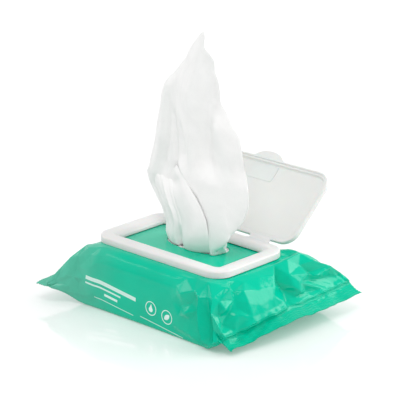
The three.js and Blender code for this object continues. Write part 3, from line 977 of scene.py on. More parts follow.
def quarter(d0, z0, d1, z1, steps):
    """Points of an eased corner from (d0, z0) to (d1, z1), leaving upwards and arriving level."""
    turns = [math.pi / 2 * k / steps for k in range(steps + 1)]
    return [(d0 + (d1 - d0) * (1 - math.cos(t)), z0 + (z1 - z0) * math.sin(t)) for t in turns]


def build_frame():
    """The frame round the opening: a crowned band, hollow below, its inner slope steep at the front."""
    band = bpy.context.scene.wipes_plastic.frame_band / MM
    top, foot = FRAME_TOP, FILM_TOP + 0.02
    profile = [(0, foot), (0, foot + 0.5)]
    profile += quarter(0, top - 1.7, 1.5, top - 0.3, 6)
    profile += [(2.5, top - 0.12), (band * 0.42, top)]
    inner = quarter(0, foot + 0.85, 4.2, top - 0.22, 9)
    profile += [(band - d, z) for d, z in reversed(inner)]
    profile += [(band, foot + 0.5), (band - 0.8, foot + 0.5), (band - 1.0, foot + 1.2)]
    profile += [(band - 3.2, top - 2.2), (1.1, top - 2.2), (1.1, foot)]
    rings = []
    for d, z in profile:
        r = max(FRAME_CORNER - d, 1.2)
        if d > 5:
            r = max(r, 4.2)
        flare = 2.8 * float(ease((d - band * 0.45) / (band * 0.55)))
        inner_slope = z > foot + 0.6 and d > band - 4.3
        crisp = 0.74 * (band - d) if inner_slope else 0.0
        half_y = FRAME_HALF[1] - d - crisp / 2
        rings.append(rounded_loop(FRAME_HALF[0] - d - flare, half_y, r, z, 22, crisp / 2))
    parts = Parts()
    parts.loops(rings, round_trip=True)
    parts.lugs(1.9, 31.4, 44.6, 45.72)
    return moulded("lid_frame_band", parts.points, parts.faces, 0.16)


def moulded(name, points, faces, edge):
    """A plastic piece: faces out, its sharp edges softened as a mould would."""
    piece = new_piece(name, points, faces)
    face_outwards(piece)
    bevel = piece.modifiers.new("soft edges", "BEVEL")
    bevel.width = edge * MM
    bevel.segments = 2
    bevel.limit_method = "ANGLE"
    bevel.angle_limit = math.radians(42)
    bake_modifiers(piece)
    piece.data.shade_smooth()
    mark_sharp(piece)
    return piece


def mark_sharp(piece, degrees=50):
    """Keeps edges above an angle crisp in shading."""
    bm = bmesh.new()
    bm.from_mesh(piece.data)
    for e in bm.edges:
        e.smooth = not (len(e.link_faces) == 2 and e.calc_face_angle() > math.radians(degrees))
    bm.to_mesh(piece.data)
    bm.free()


# ---- lid ----

HINGE_Y = 33.5
HINGE_Z = 46.3
LID_OPEN = -138.0
LID_FRONT = -24.3
LID_BACK = 32.0


def opened(points):
    """Turns points of the shut lid about the hinge to where it stands open."""
    turn = Matrix.Rotation(math.radians(LID_OPEN), 3, "X")
    middle = Vector((0, HINGE_Y, HINGE_Z))
    return [tuple(turn @ (Vector(p) - middle) + middle) for p in points]


def build_lid():
    """The lid: a shallow tray with a rim, an inner step, a pressed panel and a finger tab."""
    half_x, half_y = FRAME_HALF[0], (LID_BACK - LID_FRONT) / 2
    cy = (LID_BACK + LID_FRONT) / 2
    rim, top, corner = 46.5, 50.5, 11
    skin = top - 1.3

    def ring(d, z):
        return rounded_loop(half_x - d, half_y - d, max(corner - d, 1.6), z, 20, cy)

    parts = Parts()
    outside = [(0.35, rim + 0.08), (0.08, rim + 0.3), (0, rim + 0.7), (0, top - 1.7)]
    outside += quarter(0, top - 1.6, 1.6, top, 6)[1:]
    outside += [(5, top), (12, top), (24, top)]
    inside = [(24, skin), (12, skin), (5, skin), (4.1, skin - 0.02), (3.4, skin - 0.3), (3.05, skin - 0.9)]
    inside += [(2.9, rim + 1.4), (2.75, rim + 1.1), (2.5, rim + 1.0), (1.6, rim + 1.0), (1.45, rim + 0.85)]
    inside += [(1.4, rim + 0.35), (1.25, rim + 0.08), (0.9, rim)]
    parts.loops([ring(d, z) for d, z in inside + outside])
    panel = []
    for d, z in ((0, top - 1.25), (0, top - 1.5), (0.15, top - 1.62), (0.5, top - 1.68), (1.6, top - 1.68)):
        panel.append(rounded_loop(11 - d, 6 - d, 1.8 - min(d, 1.0), z, 6, LID_FRONT + 10))
    parts.loops(panel)
    parts.loops(tab_rings(rim))
    parts.lugs(2.2, 31.2, 46.62, 47.35)
    return moulded("lid_tray", opened(parts.points), parts.faces, 0.14)


def tab_rings(rim):
    """The finger tab at the lid's free edge, as stacked outlines with eased edges."""
    half, y0, reach, root = 14.0, LID_FRONT, 5.4, 1.2
    corners = np.array([(-half, -0.1), (-0.78 * half, -0.6), (-0.72 * half, -reach), (0, -reach)]) + [0, y0]
    curve = []
    for t in np.linspace(0, 1, 15):
        weights = ((1 - t) ** 3, 3 * t * (1 - t) ** 2, 3 * t * t * (1 - t), t ** 3)
        curve.append(tuple(weights @ corners))
    outline = curve + [(-x, y) for x, y in curve[-2::-1]]
    outline += [(0.92 * half, y0 + root), (-0.92 * half, y0 + root)]
    levels = ((0.5, 0.45), (0.12, 0.6), (0, 0.95), (0, 1.5), (0.15, 1.85), (0.6, 2.0))
    rings = []
    for inset, z in levels:
        across, out = 1 - inset / half, 1 - inset / 6
        rings.append([(x * across, y0 + root + (y - y0 - root) * out, rim + z) for x, y in outline])
    return rings


# ---- hinge ----

# Middle line of a strap, y and z, from the frame's back edge up and over to the lid's.
STRAP_PATH = (
    (31.9, 45.3), (32.5, 45.5), (32.95, 45.74), (33.2, 45.95), (33.38, 46.15), (33.55, 46.36), (33.8, 46.6),
    (34.1, 46.85), (34.5, 47.1), (35.1, 47.35), (35.7, 47.6),
)


def build_hinge():
    """Two thin bending straps from the frame's back to the lid's edge, thinnest over the hinge axis."""
    thick = bpy.context.scene.wipes_plastic.hinge_thickness / MM
    parts = Parts()
    for side in (-1, 1):
        columns = np.linspace(22.5, 39.5, 12) * side
        rings = []
        for k, (y, z) in enumerate(STRAP_PATH):
            y0, z0 = STRAP_PATH[max(k - 1, 0)]
            y1, z1 = STRAP_PATH[min(k + 1, len(STRAP_PATH) - 1)]
            length = math.hypot(y1 - y0, z1 - z0)
            ny, nz = -(z1 - z0) / length, (y1 - y0) / length
            waist = 1 - 0.35 * math.exp(-((k - 4.5) / 1.8) ** 2)
            h = thick / 2 * waist
            upper = [(x, y + ny * h, z + nz * h) for x in columns]
            lower = [(x, y - ny * h, z - nz * h) for x in columns[::-1]]
            rings.append(upper + lower)
        parts.loops(rings)
    hinge = new_piece("hinge_straps", parts.points, parts.faces)
    face_outwards(hinge)
    mark_sharp(hinge)
    return hinge


# ---- pulled wipe ----

# The opening that the wipe comes up through: its middle, and the half sizes of the gathered neck.
NECK_X, NECK_Y = -0.3, 8.2
NECK_HALF_X, NECK_HALF_Y = 24, 11
NECK_TOP, WIPE_TOP = 80, 184.9
# The flap runs round the neck from one angle to the other, in degrees.
FLAP_ANGLES = (204, 318)
FLAP_LEFT_TOP = 84.5
# The edges below are given where they would lie at this y.
EDGE_Y = 2
# How far a point goes left and down for each millimetre forwards, to look unmoved from the front right.
SHIFT_X, SHIFT_Z = 0.942, 0.45

# Edges of the pulled wipe as it stands: x, z.
WIPE_LEFT = np.array([
    (-24, 41), (-27.2, 45.9), (-27.6, 52.8), (-33.5, 60.5), (-38.1, 63.9), (-43.1, 68.7), (-47.2, 74.4),
    (-49, 80.2), (-46.2, 87.1), (-43.3, 96), (-42.3, 100.3), (-41.3, 104.6), (-40.4, 108.9), (-39.4, 113.2),
    (-38.5, 117.4), (-37.5, 121.7), (-36.6, 125.9), (-35.6, 130.2), (-35.6, 134.2), (-33.7, 138.6),
    (-31.9, 143), (-28.2, 147.6), (-22.8, 152.6), (-18.4, 157.4), (-13.9, 162.1), (-9.5, 166.8), (-6, 171.4),
    (-2.5, 175.9), (1.8, 180.5), (5.3, 184.9),
])
WIPE_RIGHT = np.array([
    (24, 41), (26.5, 45.2), (28.2, 52.4), (35.1, 60.9), (39.3, 68.6), (41.8, 77.9), (41.7, 82.2),
    (41.7, 87.9), (40.8, 93.9), (39, 99.5), (38.1, 105.3), (36.8, 112.9), (35.5, 116.5), (34.6, 120.3),
    (32, 123.7), (28.6, 126.9), (26, 130.3), (22.6, 133.6), (19.1, 136.8), (15.7, 140.1), (15.7, 144), (14.8, 147.8),
    (13.9, 151.5), (12.2, 155.1), (10.5, 158.7), (11.3, 162.7), (11.3, 166.6), (9.6, 170.2), (7, 173.6),
    (7, 177.5), (7.9, 181.5), (6.2, 184.9),
])

# Long folds of the standing panel: path of (x, z), width, height towards the front.
PANEL_FOLDS = [
    ([(5, 184), (1, 165), (-3, 145), (-4, 125), (-3, 105), (0, 92), (6, 78)], 8.5, 5.5),
    ([(8, 168), (9, 150), (8, 130), (7, 110), (9, 95), (13, 80), (18, 62)], 6.0, -3.2),
    ([(22, 128), (27, 110), (29, 92), (28, 72), (25, 55)], 11.0, 3.4),
    ([(-22, 126), (-20.5, 112), (-19, 98), (-16, 88)], 2.2, -2.6),
    ([(-15, 122), (-10, 114), (-8, 104)], 3.0, -1.5),
    ([(-25, 150), (-30, 130), (-33, 112), (-37, 96), (-40, 84)], 5.0, 2.6),
    ([(-26, 138), (-27, 120), (-28, 104), (-31, 92)], 2.6, -1.8),
    ([(-15, 158), (-14, 140), (-13, 125)], 3.2, 1.2),
    ([(36, 104), (37, 90), (36, 76), (31, 62)], 3.0, -1.4),
]


def fold_height(x, z, path, width, height):
    """How far one long fold lifts the panel at x, z; its path runs from the top down."""
    px, pz = zip(*path[::-1])
    off = (x - np.interp(z, pz, px)) / width
    run = 12.0
    ends = ease((z - pz[0] + run) / run) * ease((pz[-1] + run * 0.6 - z) / run)
    return height * np.exp(-off * off) * ends


def neck_share(z):
    """One at the opening, fading to none where the wipe hangs free."""
    return ease((NECK_TOP - z) / (NECK_TOP - FILM_TOP))


def panel_edges(z):
    """Where the panel's left and right edges are at a height."""
    return (np.interp(z, edge[:, 1], edge[:, 0]) for edge in (WIPE_LEFT, WIPE_RIGHT))


def beside_flap(x, y, z, right):
    """Low down, the panel comes forward beside the flap's free edge, so the two lie close."""
    clear, out_reach = 0.05, 5.0
    heights = [p[1] for p in FLAP_EDGE[::-1]]
    edge_x = np.interp(z, heights, [p[0] for p in FLAP_EDGE[::-1]])
    edge_y = np.interp(z, heights[:-1], [p[2] for p in FLAP_EDGE[:0:-1]])
    edge_x -= SHIFT_X * (edge_y - EDGE_Y)
    share = ease((x - edge_x + 9) / 7) * ease((101 - z) / 14)
    out = np.clip((x - edge_x) / max(right - edge_x, 1), 0, 1)
    share = share * (1 - 0.85 * (1 - ease((z - 41.5) / 7)) * ease((out - 0.3) / 0.5))
    aim = edge_y + clear + out_reach * out ** 1.5
    new_y = y + (aim - y) * share
    keep = ease((z - 43) / 12)
    return x + SHIFT_X * (y - new_y) * keep * ease(out * 2), new_y


def panel_point(u, z, full=False):
    """A point of the standing panel; full leaves out its step forward beside the flap."""
    left, right = panel_edges(z)
    share = neck_share(z)
    start, stop = math.radians(180 + 24 * share), math.radians(-38 * share)
    phi = start + (stop - start) * u
    c = (1 - share) * (2 * u - 1) + share * math.cos(phi)
    middle, half = (left + right) / 2, (right - left) / 2
    x = middle + half * c
    y = NECK_Y + NECK_HALF_Y * share * math.sin(phi)
    free = 1 - 0.85 * share
    lift = sum(fold_height(x, z, *fold) for fold in PANEL_FOLDS)
    below_tip = ease((186 - z) / 40)
    y -= 1.25 * free * lift * (0.35 + 0.65 * below_tip)
    edges_back = 3.0 * (1 - share) * abs(2 * u - 1) ** 4 * below_tip
    ripple = 0.5 * free * math.sin(0.21 * x + 0.09 * z) * math.sin(0.13 * z + 1.3)
    y += edges_back + ripple
    gathers = 11
    gather = 0.5 - 0.5 * math.cos(2 * math.pi * gathers * u + 0.4 * math.sin(9 * u))
    gather *= math.exp(-(z - FILM_TOP) / 15) * (1 - 0.7 * ease((u - 0.5) / 0.2))
    x -= gather * math.cos(phi)
    y -= gather * math.sin(phi)
    if not full:
        x, y = beside_flap(x, y, z, right)
    cross_crease = 0.35 * math.exp(-((z - 119) / 0.9) ** 2 - ((x - 14) / 8) ** 2)
    return np.array([x, y + cross_crease, z])


# Pleats of the flap, as shares of its width: place along it and width, then height.
FLAP_PLEATS = (
    (0.05, 0.025, 0.9), (0.12, 0.022, -1.2), (0.19, 0.026, 1.2), (0.27, 0.03, -1.3), (0.34, 0.026, 1.0),
    (0.41, 0.03, -0.9), (0.47, 0.03, -1.2),
)

# The flap's edges: x, z where the fabric would lie at EDGE_Y, and its own y.
FLAP_TOP = [
    (-46.5, 84.5, 6.6), (-42.5, 86.3, 4.6), (-37.4, 86.6, 3.2), (-28.3, 86.0, 2.2), (-19.2, 87.6, 1.4),
    (-12.9, 94.4, 1.0),
]
FLAP_EDGE = [
    (-12.9, 93.9, 1.0), (-6.7, 89.2, 0.6), (-1.3, 83, 0.2), (4.8, 76.2, -0.4), (10.1, 68.6, -1.0),
    (13.7, 62.7, -1.5), (16.3, 53.1, -2.2), (17.6, 46.5, -2.2), (18.6, 41, -1.2),
]


def along_path(path, t):
    """A point at share t of a path's length."""
    p = np.array(path, float)
    step = run_lengths(p[:, :2])
    step /= step[-1]
    return np.array([np.interp(t, step, p[:, k]) for k in range(3)])


def set_forward(x, z, y):
    """A place given at EDGE_Y, carried to another y without moving as seen from the front right."""
    return np.array([x - SHIFT_X * (y - EDGE_Y), y, z - SHIFT_Z * (y - EDGE_Y)])


def neck_point(degrees):
    """A point of the opening's edge where the wipe is gathered."""
    t = math.radians(degrees)
    return np.array([NECK_X + NECK_HALF_X * math.cos(t), NECK_Y + NECK_HALF_Y * math.sin(t), FILM_TOP])


@functools.cache
def flap_head(u):
    """The flap's top: it lies against the panel from the left fold to near its free corner."""
    x, z, _ = along_path(FLAP_TOP, u)
    place = set_forward(x, z, 6.0)
    clear = 0.7 + 2.2 * ease(u / 0.12) - 4.8 * ease((u - 0.72) / 0.22)
    for _ in range(4):
        left, right = panel_edges(place[2])
        at = panel_point(min(max((place[0] - left) / (right - left), 0), 1), place[2])
        place = set_forward(x, z, at[1] + clear)
    return place


def flap_point(u, v):
    """A point of the front flap: u from the folded left edge to its free edge, v from top to bottom."""
    start, stop = FLAP_ANGLES
    top_left, top_right = panel_point(0.0, FLAP_LEFT_TOP), flap_head(1.0)
    low_left, low_right = panel_point(0.0, FILM_TOP), neck_point(stop)
    left = panel_point(0.0, FLAP_LEFT_TOP - (FLAP_LEFT_TOP - FILM_TOP) * v)
    low = neck_point(start + (stop - start) * u)
    top = flap_head(u) + (top_left - flap_head(0.0)) * (1 - u) ** 3
    right = set_forward(*along_path(FLAP_EDGE, v)) + (low_right - set_forward(*FLAP_EDGE[-1])) * v ** 6
    right = right + (top_right - set_forward(*FLAP_EDGE[0])) * (1 - v) ** 5
    ruled = (1 - v) * top + v * low + (1 - u) * left + u * right
    ruled -= (1 - u) * (1 - v) * top_left + u * (1 - v) * top_right
    ruled -= (1 - u) * v * low_left + u * v * low_right
    hang = math.sin(math.pi * min(v * 0.9 + 0.08, 1))
    belly, edge_roll = 1.2 * math.sin(math.pi * u), 2.6 * math.exp(-((u - 0.86 + 0.12 * v) / 0.17) ** 2)
    push = hang * (belly + edge_roll)
    for at, width, height in FLAP_PLEATS:
        shift = at * (1.6 - 0.6 * v) + 0.02 * math.sin(3 * v + 7 * at)
        push += height * math.exp(-((u - shift) / width) ** 2) * math.sin(math.pi * min(v + 0.04, 1)) ** 0.6
    shoulder = 1.6 * math.exp(-((u - 0.7) / 0.2) ** 2) * ease(v * 3)
    dent = 2.0 * math.exp(-((u - 0.78) / 0.12) ** 2 - ((v - 0.16) / 0.06) ** 2)
    cleft = 7.2 * math.exp(-((u - 0.47) / 0.055) ** 2) * ease((v - 0.66) / 0.28) * (1 - 0.3 * v)
    push += shoulder - dent - cleft + 0.24 * math.sin(13 * v + 4 * u)
    sideways = 0.1925
    return ruled + np.array([sideways * push, -push, 0.0])


def rear_point(w, z):
    """A point of the layer folded behind the panel: w from their shared right edge towards the left."""
    share = neck_share(z)
    out = panel_point(1 - w * (0.05 + 0.93 * ease((178 - z) / 26)), z, full=True)
    gap = 2.6 * math.sin(math.pi * w) ** 0.7 * (1 + 0.3 * math.sin(9 * w + 0.05 * z)) + 0.45 * w
    out[1] += gap * (0.2 + 0.8 * ease((172 - z) / 30)) * (1 - share)
    inward = 1 - 0.09 * share ** 2 * min(w * 6, 1)
    out[0] = NECK_X + (out[0] - NECK_X) * inward
    out[1] = NECK_Y + (out[1] - NECK_Y) * inward
    return out


def sheet_grid(parts, uv, make, us, vs, uv_start, flip=False):
    """One layer of the wipe as a grid, with its place on the flat sheet in metres."""
    points = [make(u, v) for v in vs for u in us]
    faces = grid_faces(len(vs), len(us))
    parts.add(points, [f[::-1] for f in faces] if flip else faces)
    grid = np.array(points).reshape(len(vs), len(us), 3)
    across = run_lengths(grid[len(vs) // 2])
    uv += [(uv_start + step * MM, row[0, 2] * MM) for row in grid for step in across]


def add_neck(parts, uv):
    """The gathered ring where the wipe goes down through the opening."""
    count, gathers, half_x, half_y = 96, 13, 22.6, 10.2
    rows = []
    for share_x, share_y, z in ((1, 1, 40.9), (1, 1, 40.4), (0.93, 0.9, 40.05)):
        row = []
        for t in (2 * math.pi * k / count for k in range(count)):
            wave = 1 - 0.07 * (0.5 + 0.5 * math.cos(gathers * t))
            x, y = half_x * wave * math.cos(t), half_y * wave * math.sin(t)
            row.append((NECK_X + share_x * x, NECK_Y + share_y * y, z))
        rows.append(row)
    parts.add([p for row in rows for p in row], grid_faces(len(rows), count, closed=True))
    uv += [(k * 0.0007, 0.04 - 0.001 * r) for r in range(len(rows)) for k in range(count)]


def add_tail(parts, uv, layers=4):
    """The part of the wipe still under the film, folded to and fro in flat layers."""
    front, back, turn, drop = -5, 22, 0.35, 0.4
    rows, z = [], 40.0
    for layer in range(layers):
        start, stop, out = (front, back, turn) if layer % 2 == 0 else (back, front, -turn)
        rows += [(y, z) for y in np.linspace(start, stop, 12)] + [(stop + out, z - drop / 2)]
        z -= drop
    xs = np.linspace(-30, 30, 16)
    points = [(x, y, z + 0.04 * math.sin(0.5 * x)) for y, z in rows for x in xs]
    parts.add(points, grid_faces(len(rows), len(xs)))
    uv += [(x * MM, -0.002 * k) for k in range(len(rows)) for x in xs]


def build_wipe():
    """The pulled wipe: a standing panel, the layer folded behind it, the front flap, and the tail below."""
    parts, uv = Parts(), []
    neck = np.linspace(FILM_TOP, NECK_TOP, 34, endpoint=False)
    heights = np.concatenate([neck, np.linspace(NECK_TOP, WIPE_TOP, 72)])
    sheet_grid(parts, uv, panel_point, np.linspace(0, 1, 84), heights, 0.0)
    sheet_grid(parts, uv, rear_point, np.linspace(0, 1, 60), heights[heights < 170], 0.09)
    sheet_grid(parts, uv, flap_point, np.linspace(0, 1, 70), np.linspace(0, 1, 64), -0.09, flip=True)
    add_neck(parts, uv)
    add_tail(parts, uv)
    wipe = new_piece("pulled_wipe_sheet", parts.points, parts.faces)
    layer = wipe.data.uv_layers.new(name="UVMap")
    for loop in wipe.data.loops:
        layer.data[loop.index].uv = uv[loop.vertex_index]
    face_outwards(wipe, gap=0.00004)
    drape = wipe.modifiers.new("drape", "SMOOTH")
    drape.factor, drape.iterations = 0.5, 2
    wall = wipe.modifiers.new("thickness", "SOLIDIFY")
    wall.thickness = bpy.context.scene.wipes_fabric.thickness
    wall.offset = 0.0
    bake_modifiers(wipe)
    wipe.data.shade_smooth()
    return wipe


# ---- stage ----

# Softboxes: name, place and aim in metres, size, share of the overhead brightness.
SOFTBOXES = (
    ("front top", (0.36, -0.50, 1.10), (0, 0, 0.05), (0.50, 0.40), 0.8),
    ("back right", (0.80, 0.96, 0.64), (0.05, 0, 0.05), (1.10, 0.72), 0.58),
    ("left side", (-1.3, -0.5, 0.9), (0, 0, 0.08), (0.5, 0.6), 0.4),
)
# The viewpoint: degrees round from the front and up, then where it looks and from how far, in millimetres.
VIEW_AZIMUTH, VIEW_ELEVATION = 43.28, 18.53
VIEW_TARGET, VIEW_DISTANCE = (9.37, 0.0, 75.73), 1280.4


def build_floor():
    """A wide pale glossy floor."""
    size, count = 5000.0, 13
    ticks = np.linspace(-size, size, count)
    return new_piece("studio_floor", [(x, y, 0.0) for x in ticks for y in ticks], grid_faces(count, count))


@made_once("materials", "pale glossy floor")
def floor_material(name):
    """Near white, smooth enough to mirror the pack faintly."""
    given = bpy.context.scene.wipes_stage
    material, _, shader, _ = new_material(name)
    shader.inputs["Base Color"].default_value = (*given.floor_white, 1)
    shader.inputs["Roughness"].default_value = 0.1
    shader.inputs["IOR"].default_value = 1.9
    shader.inputs["Emission Color"].default_value = (1, 1, 1, 1)
    shader.inputs["Emission Strength"].default_value = given.floor_glow
    return material


def build_world():
    """A bright surround; what gloss mirrors of it is darker on the viewer's side and overhead."""
    given = bpy.context.scene.wipes_stage
    world = bpy.data.worlds.new("soft surround")
    world.use_nodes = True
    world.node_tree.nodes.clear()
    n = Nodes(world.node_tree)
    where = n.add("ShaderNodeTexCoord").outputs["Generated"]
    away = n.add("ShaderNodeVectorMath", operation="DOT_PRODUCT")
    n.put(away.inputs[0], where)
    away.inputs[1].default_value = (-0.55, 0.58, 0.6)
    level = n.span(away.outputs["Value"], -0.75, 0.45, 0.93, 1.0)
    seen = n.span(away.outputs["Value"], -0.3, 0.5, given.dark_side, 1.0)
    split = n.add("ShaderNodeSeparateXYZ", {"Vector": where})
    seen = n.math("MULTIPLY", seen, n.span(split.outputs[2], 0.35, 0.8, 1.0, 0.35))
    mirrored = n.add("ShaderNodeLightPath").outputs["Is Glossy Ray"]
    level = n.math("ADD", level, n.math("MULTIPLY", mirrored, n.math("SUBTRACT", seen, level)))
    shade = n.add("ShaderNodeBackground", {"Color": (1, 1, 1, 1)})
    n.put(shade.inputs["Strength"], n.math("MULTIPLY", level, given.surround))
    n.put(n.add("ShaderNodeOutputWorld").inputs[0], shade.outputs[0])
    bpy.context.scene.world = world


def softbox(name, place, aim, size, glow):
    """A flat area light pointed at a place; glow is its brightness."""
    light = bpy.data.lights.new(name, "AREA")
    light.shape = "RECTANGLE"
    light.size, light.size_y = size
    light.energy = glow * math.pi * size[0] * size[1]
    lamp = bpy.data.objects.new(name, light)
    bpy.context.scene.collection.objects.link(lamp)
    lamp.location = place
    lamp.rotation_euler = (Vector(place) - Vector(aim)).to_track_quat("Z", "Y").to_euler()


def place_camera():
    """The viewpoint: a long lens, front right, looking a little down."""
    camera = bpy.data.objects.new("camera", bpy.data.cameras.new("camera"))
    bpy.context.scene.collection.objects.link(camera)
    camera.data.sensor_width = 36.0
    camera.data.lens = 180.0
    camera.data.clip_end = 20.0
    a, e = math.radians(VIEW_AZIMUTH), math.radians(VIEW_ELEVATION)
    back = Vector((math.sin(a) * math.cos(e), -math.cos(a) * math.cos(e), math.sin(e)))
    camera.location = Vector(VIEW_TARGET) * MM + back * VIEW_DISTANCE * MM
    camera.rotation_euler = back.to_track_quat("Z", "Y").to_euler()
    bpy.context.scene.camera = camera


# ---- settings a user would change ----


class PouchSettings(bpy.types.PropertyGroup):
    """Sizes and colours of the film pouch."""

    opening_length: FloatProperty(
        name="Opening Length", description="Length of the die-cut opening", default=0.0478, unit="LENGTH"
    )
    opening_width: FloatProperty(
        name="Opening Width", description="Width of the die-cut opening", default=0.0236, unit="LENGTH"
    )
    fold_depth: FloatProperty(
        name="Fold Depth", description="How deep the folds of the crumpled end are", default=1.8, min=0.0
    )
    rib_radius: FloatProperty(
        name="Rib Radius", description="Radius of the crimp ribs in the seals", default=0.00045, unit="LENGTH"
    )
    tooth_spacing: FloatProperty(
        name="Tooth Spacing", description="Distance between the seals' teeth", default=0.0016, unit="LENGTH"
    )
    tooth_length: FloatProperty(
        name="Tooth Length", description="How far each tooth stands out", default=0.0011, unit="LENGTH"
    )
    gloss_roughness: FloatProperty(
        name="Film Roughness", description="Roughness of the film's gloss", default=0.09, min=0.0, max=1.0
    )
    green: FloatVectorProperty(
        name="Film Green", description="Main colour of the film", subtype="COLOR",
        default=(0.0, 0.52, 0.325), min=0, max=1,
    )
    # The greyer colour of the left end is a painted reflection, standing in for the haze on that end.
    painted_haze: FloatVectorProperty(
        name="Film Mint", description="Paler colour at the left end", subtype="COLOR",
        default=(0.115, 0.515, 0.37), min=0, max=1,
    )


class PlasticSettings(bpy.types.PropertyGroup):
    """Sizes and colour of the frame, lid and hinge."""

    frame_band: FloatProperty(
        name="Frame Band", description="Width of the frame's band", default=0.0093, unit="LENGTH"
    )
    hinge_thickness: FloatProperty(
        name="Hinge Thickness", description="Thickness of the bending straps", default=0.0006, unit="LENGTH"
    )
    white: FloatVectorProperty(
        name="Plastic White", description="Colour of the moulded plastic", subtype="COLOR",
        default=(0.75, 0.747, 0.738), min=0, max=1,
    )


class FabricSettings(bpy.types.PropertyGroup):
    """Sizes and colour of the wipes."""

    flat_width: FloatProperty(
        name="Wipe Width", description="Width of one wipe laid flat", default=0.150, unit="LENGTH"
    )
    flat_length: FloatProperty(
        name="Wipe Length", description="Length of one wipe laid flat", default=0.200, unit="LENGTH"
    )
    thickness: FloatProperty(
        name="Wipe Thickness", description="Thickness of the fabric", default=0.00035, unit="LENGTH"
    )
    white: FloatVectorProperty(
        name="Wipe White", description="Colour of the fabric", subtype="COLOR",
        default=(0.895, 0.894, 0.886), min=0, max=1,
    )


class StageSettings(bpy.types.PropertyGroup):
    """Light and floor."""

    surround: FloatProperty(
        name="Surround", description="Brightness of the surround", default=0.88, min=0.0
    )
    dark_side: FloatProperty(
        name="Viewer Side", description="Brightness of the viewer's side as seen in gloss",
        default=0.25, min=0.0, max=1.0,
    )
    overhead: FloatProperty(
        name="Overhead", description="Brightness of the overhead softbox", default=6.5, min=0.0
    )
    floor_white: FloatVectorProperty(
        name="Floor", description="Colour of the floor", subtype="COLOR",
        default=(0.80, 0.80, 0.80), min=0, max=1,
    )
    floor_glow: FloatProperty(
        name="Floor Glow", description="Light the floor gives by itself", default=0.17, min=0.0
    )


# ---- operators ----


class WIPES_OT_pouch(bpy.types.Operator):
    """Build the crumpled film pouch with its opening, and the ribs and teeth of its two crimped seals"""

    bl_idname = "wipes_pack.pouch"
    bl_label = "Film Pouch"

    def execute(self, context):
        film = crumpled_film(*base_film())
        pouch = build_pouch(film)
        assign(pouch, film_material())
        if len(pouch.data.polygons) < 1000:
            raise RuntimeError("the pouch came out empty")
        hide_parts("film_pouch")
        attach(pouch, "pack")
        for side in (-1, 1):
            seal = build_seal(film, side)
            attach(seal, "pack")
        return {"FINISHED"}


class WIPES_OT_frame(bpy.types.Operator):
    """Build the frame round the opening"""

    bl_idname = "wipes_pack.frame"
    bl_label = "Lid Frame"

    def execute(self, context):
        piece = build_frame()
        assign(piece, plastic_material())
        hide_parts("lid_frame")
        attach(piece, "pack")
        return {"FINISHED"}


class WIPES_OT_lid(bpy.types.Operator):
    """Build the lid with its rim, panel and tab"""

    bl_idname = "wipes_pack.lid"
    bl_label = "Lid"

    def execute(self, context):
        piece = build_lid()
        assign(piece, plastic_material("moulded lid plastic", warm=1.0))
        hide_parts("lid")
        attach(piece, "lid")
        return {"FINISHED"}


class WIPES_OT_hinge(bpy.types.Operator):
    """Build the bending straps of the hinge"""

    bl_idname = "wipes_pack.hinge"
    bl_label = "Hinge Straps"

    def execute(self, context):
        piece = build_hinge()
        assign(piece, plastic_material())
        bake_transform(piece)
        return {"FINISHED"}


class WIPES_OT_pulled_wipe(bpy.types.Operator):
    """Build the wipe pulled up through the opening"""

    bl_idname = "wipes_pack.pulled_wipe"
    bl_label = "Pulled Wipe"

    def execute(self, context):
        piece = build_wipe()
        assign(piece, wipe_material("pulled nonwoven", by_map=True))
        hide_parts("pulled_wipe")
        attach(piece, "pack")
        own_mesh(piece)
        return {"FINISHED"}


class WIPES_OT_folded_wipes(bpy.types.Operator):
    """Give the folded wipes in the pouch their fabric"""

    bl_idname = "wipes_pack.folded_wipes"
    bl_label = "Folded Wipes"

    def execute(self, context):
        if not WIPE_NODES:
            raise RuntimeError("no folded wipes in the frame")
        fabric = wipe_material("folded nonwoven")
        for name in WIPE_NODES:
            assign(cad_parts[name], fabric)
        return {"FINISHED"}


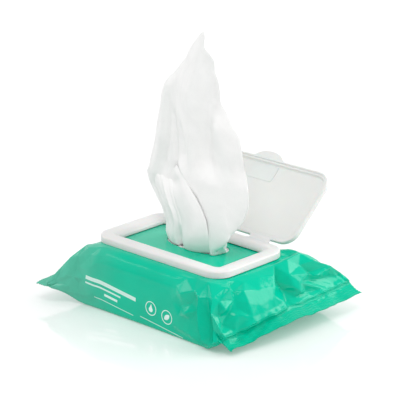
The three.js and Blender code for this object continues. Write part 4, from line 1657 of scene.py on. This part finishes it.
class WIPES_OT_stage(bpy.types.Operator):
    """Set up the floor, the surround, the softboxes and the camera"""

    bl_idname = "wipes_pack.stage"
    bl_label = "Stage"

    def execute(self, context):
        given = context.scene.wipes_stage
        floor = build_floor()
        assign(floor, floor_material())
        build_world()
        for name, place, aim, size, share in SOFTBOXES:
            softbox(name, place, aim, size, given.overhead * share)
        place_camera()
        context.scene.view_settings.view_transform = "Standard"
        context.scene.view_settings.look = "None"
        return {"FINISHED"}


class WIPES_PT_panel(bpy.types.Panel):
    """Lists the steps and settings of the wipes pack"""

    bl_idname = "WIPES_PT_panel"
    bl_label = "Wet Wipes Pack"
    bl_space_type = "VIEW_3D"
    bl_region_type = "UI"
    bl_category = "Wipes pack"

    def draw(self, context):
        layout = self.layout
        for step in STEPS:
            layout.operator(step.bl_idname, text=step.bl_label)
        for name, group in GROUPS:
            box = layout.box()
            for key in group.__annotations__:
                box.prop(getattr(context.scene, name), key)


STEPS = (
    WIPES_OT_stage,
    WIPES_OT_pouch,
    WIPES_OT_frame,
    WIPES_OT_lid,
    WIPES_OT_hinge,
    WIPES_OT_folded_wipes,
    WIPES_OT_pulled_wipe,
)
GROUPS = (
    ("wipes_pouch", PouchSettings),
    ("wipes_plastic", PlasticSettings),
    ("wipes_fabric", FabricSettings),
    ("wipes_stage", StageSettings),
)


def register():
    """Adds the settings, the steps and the panel."""
    for name, group in GROUPS:
        bpy.utils.register_class(group)
        setattr(bpy.types.Scene, name, PointerProperty(type=group))
    for step in STEPS:
        bpy.utils.register_class(step)
    bpy.utils.register_class(WIPES_PT_panel)


def unregister():
    """Takes them away again."""
    bpy.utils.unregister_class(WIPES_PT_panel)
    for step in reversed(STEPS):
        bpy.utils.unregister_class(step)
    for name, group in reversed(GROUPS):
        delattr(bpy.types.Scene, name)
        bpy.utils.unregister_class(group)


def main():
    """Builds the whole pack in order."""
    register()
    for step in STEPS:
        family, action = step.bl_idname.split(".")
        getattr(getattr(bpy.ops, family), action)()


if __name__ == "__main__":
    main()
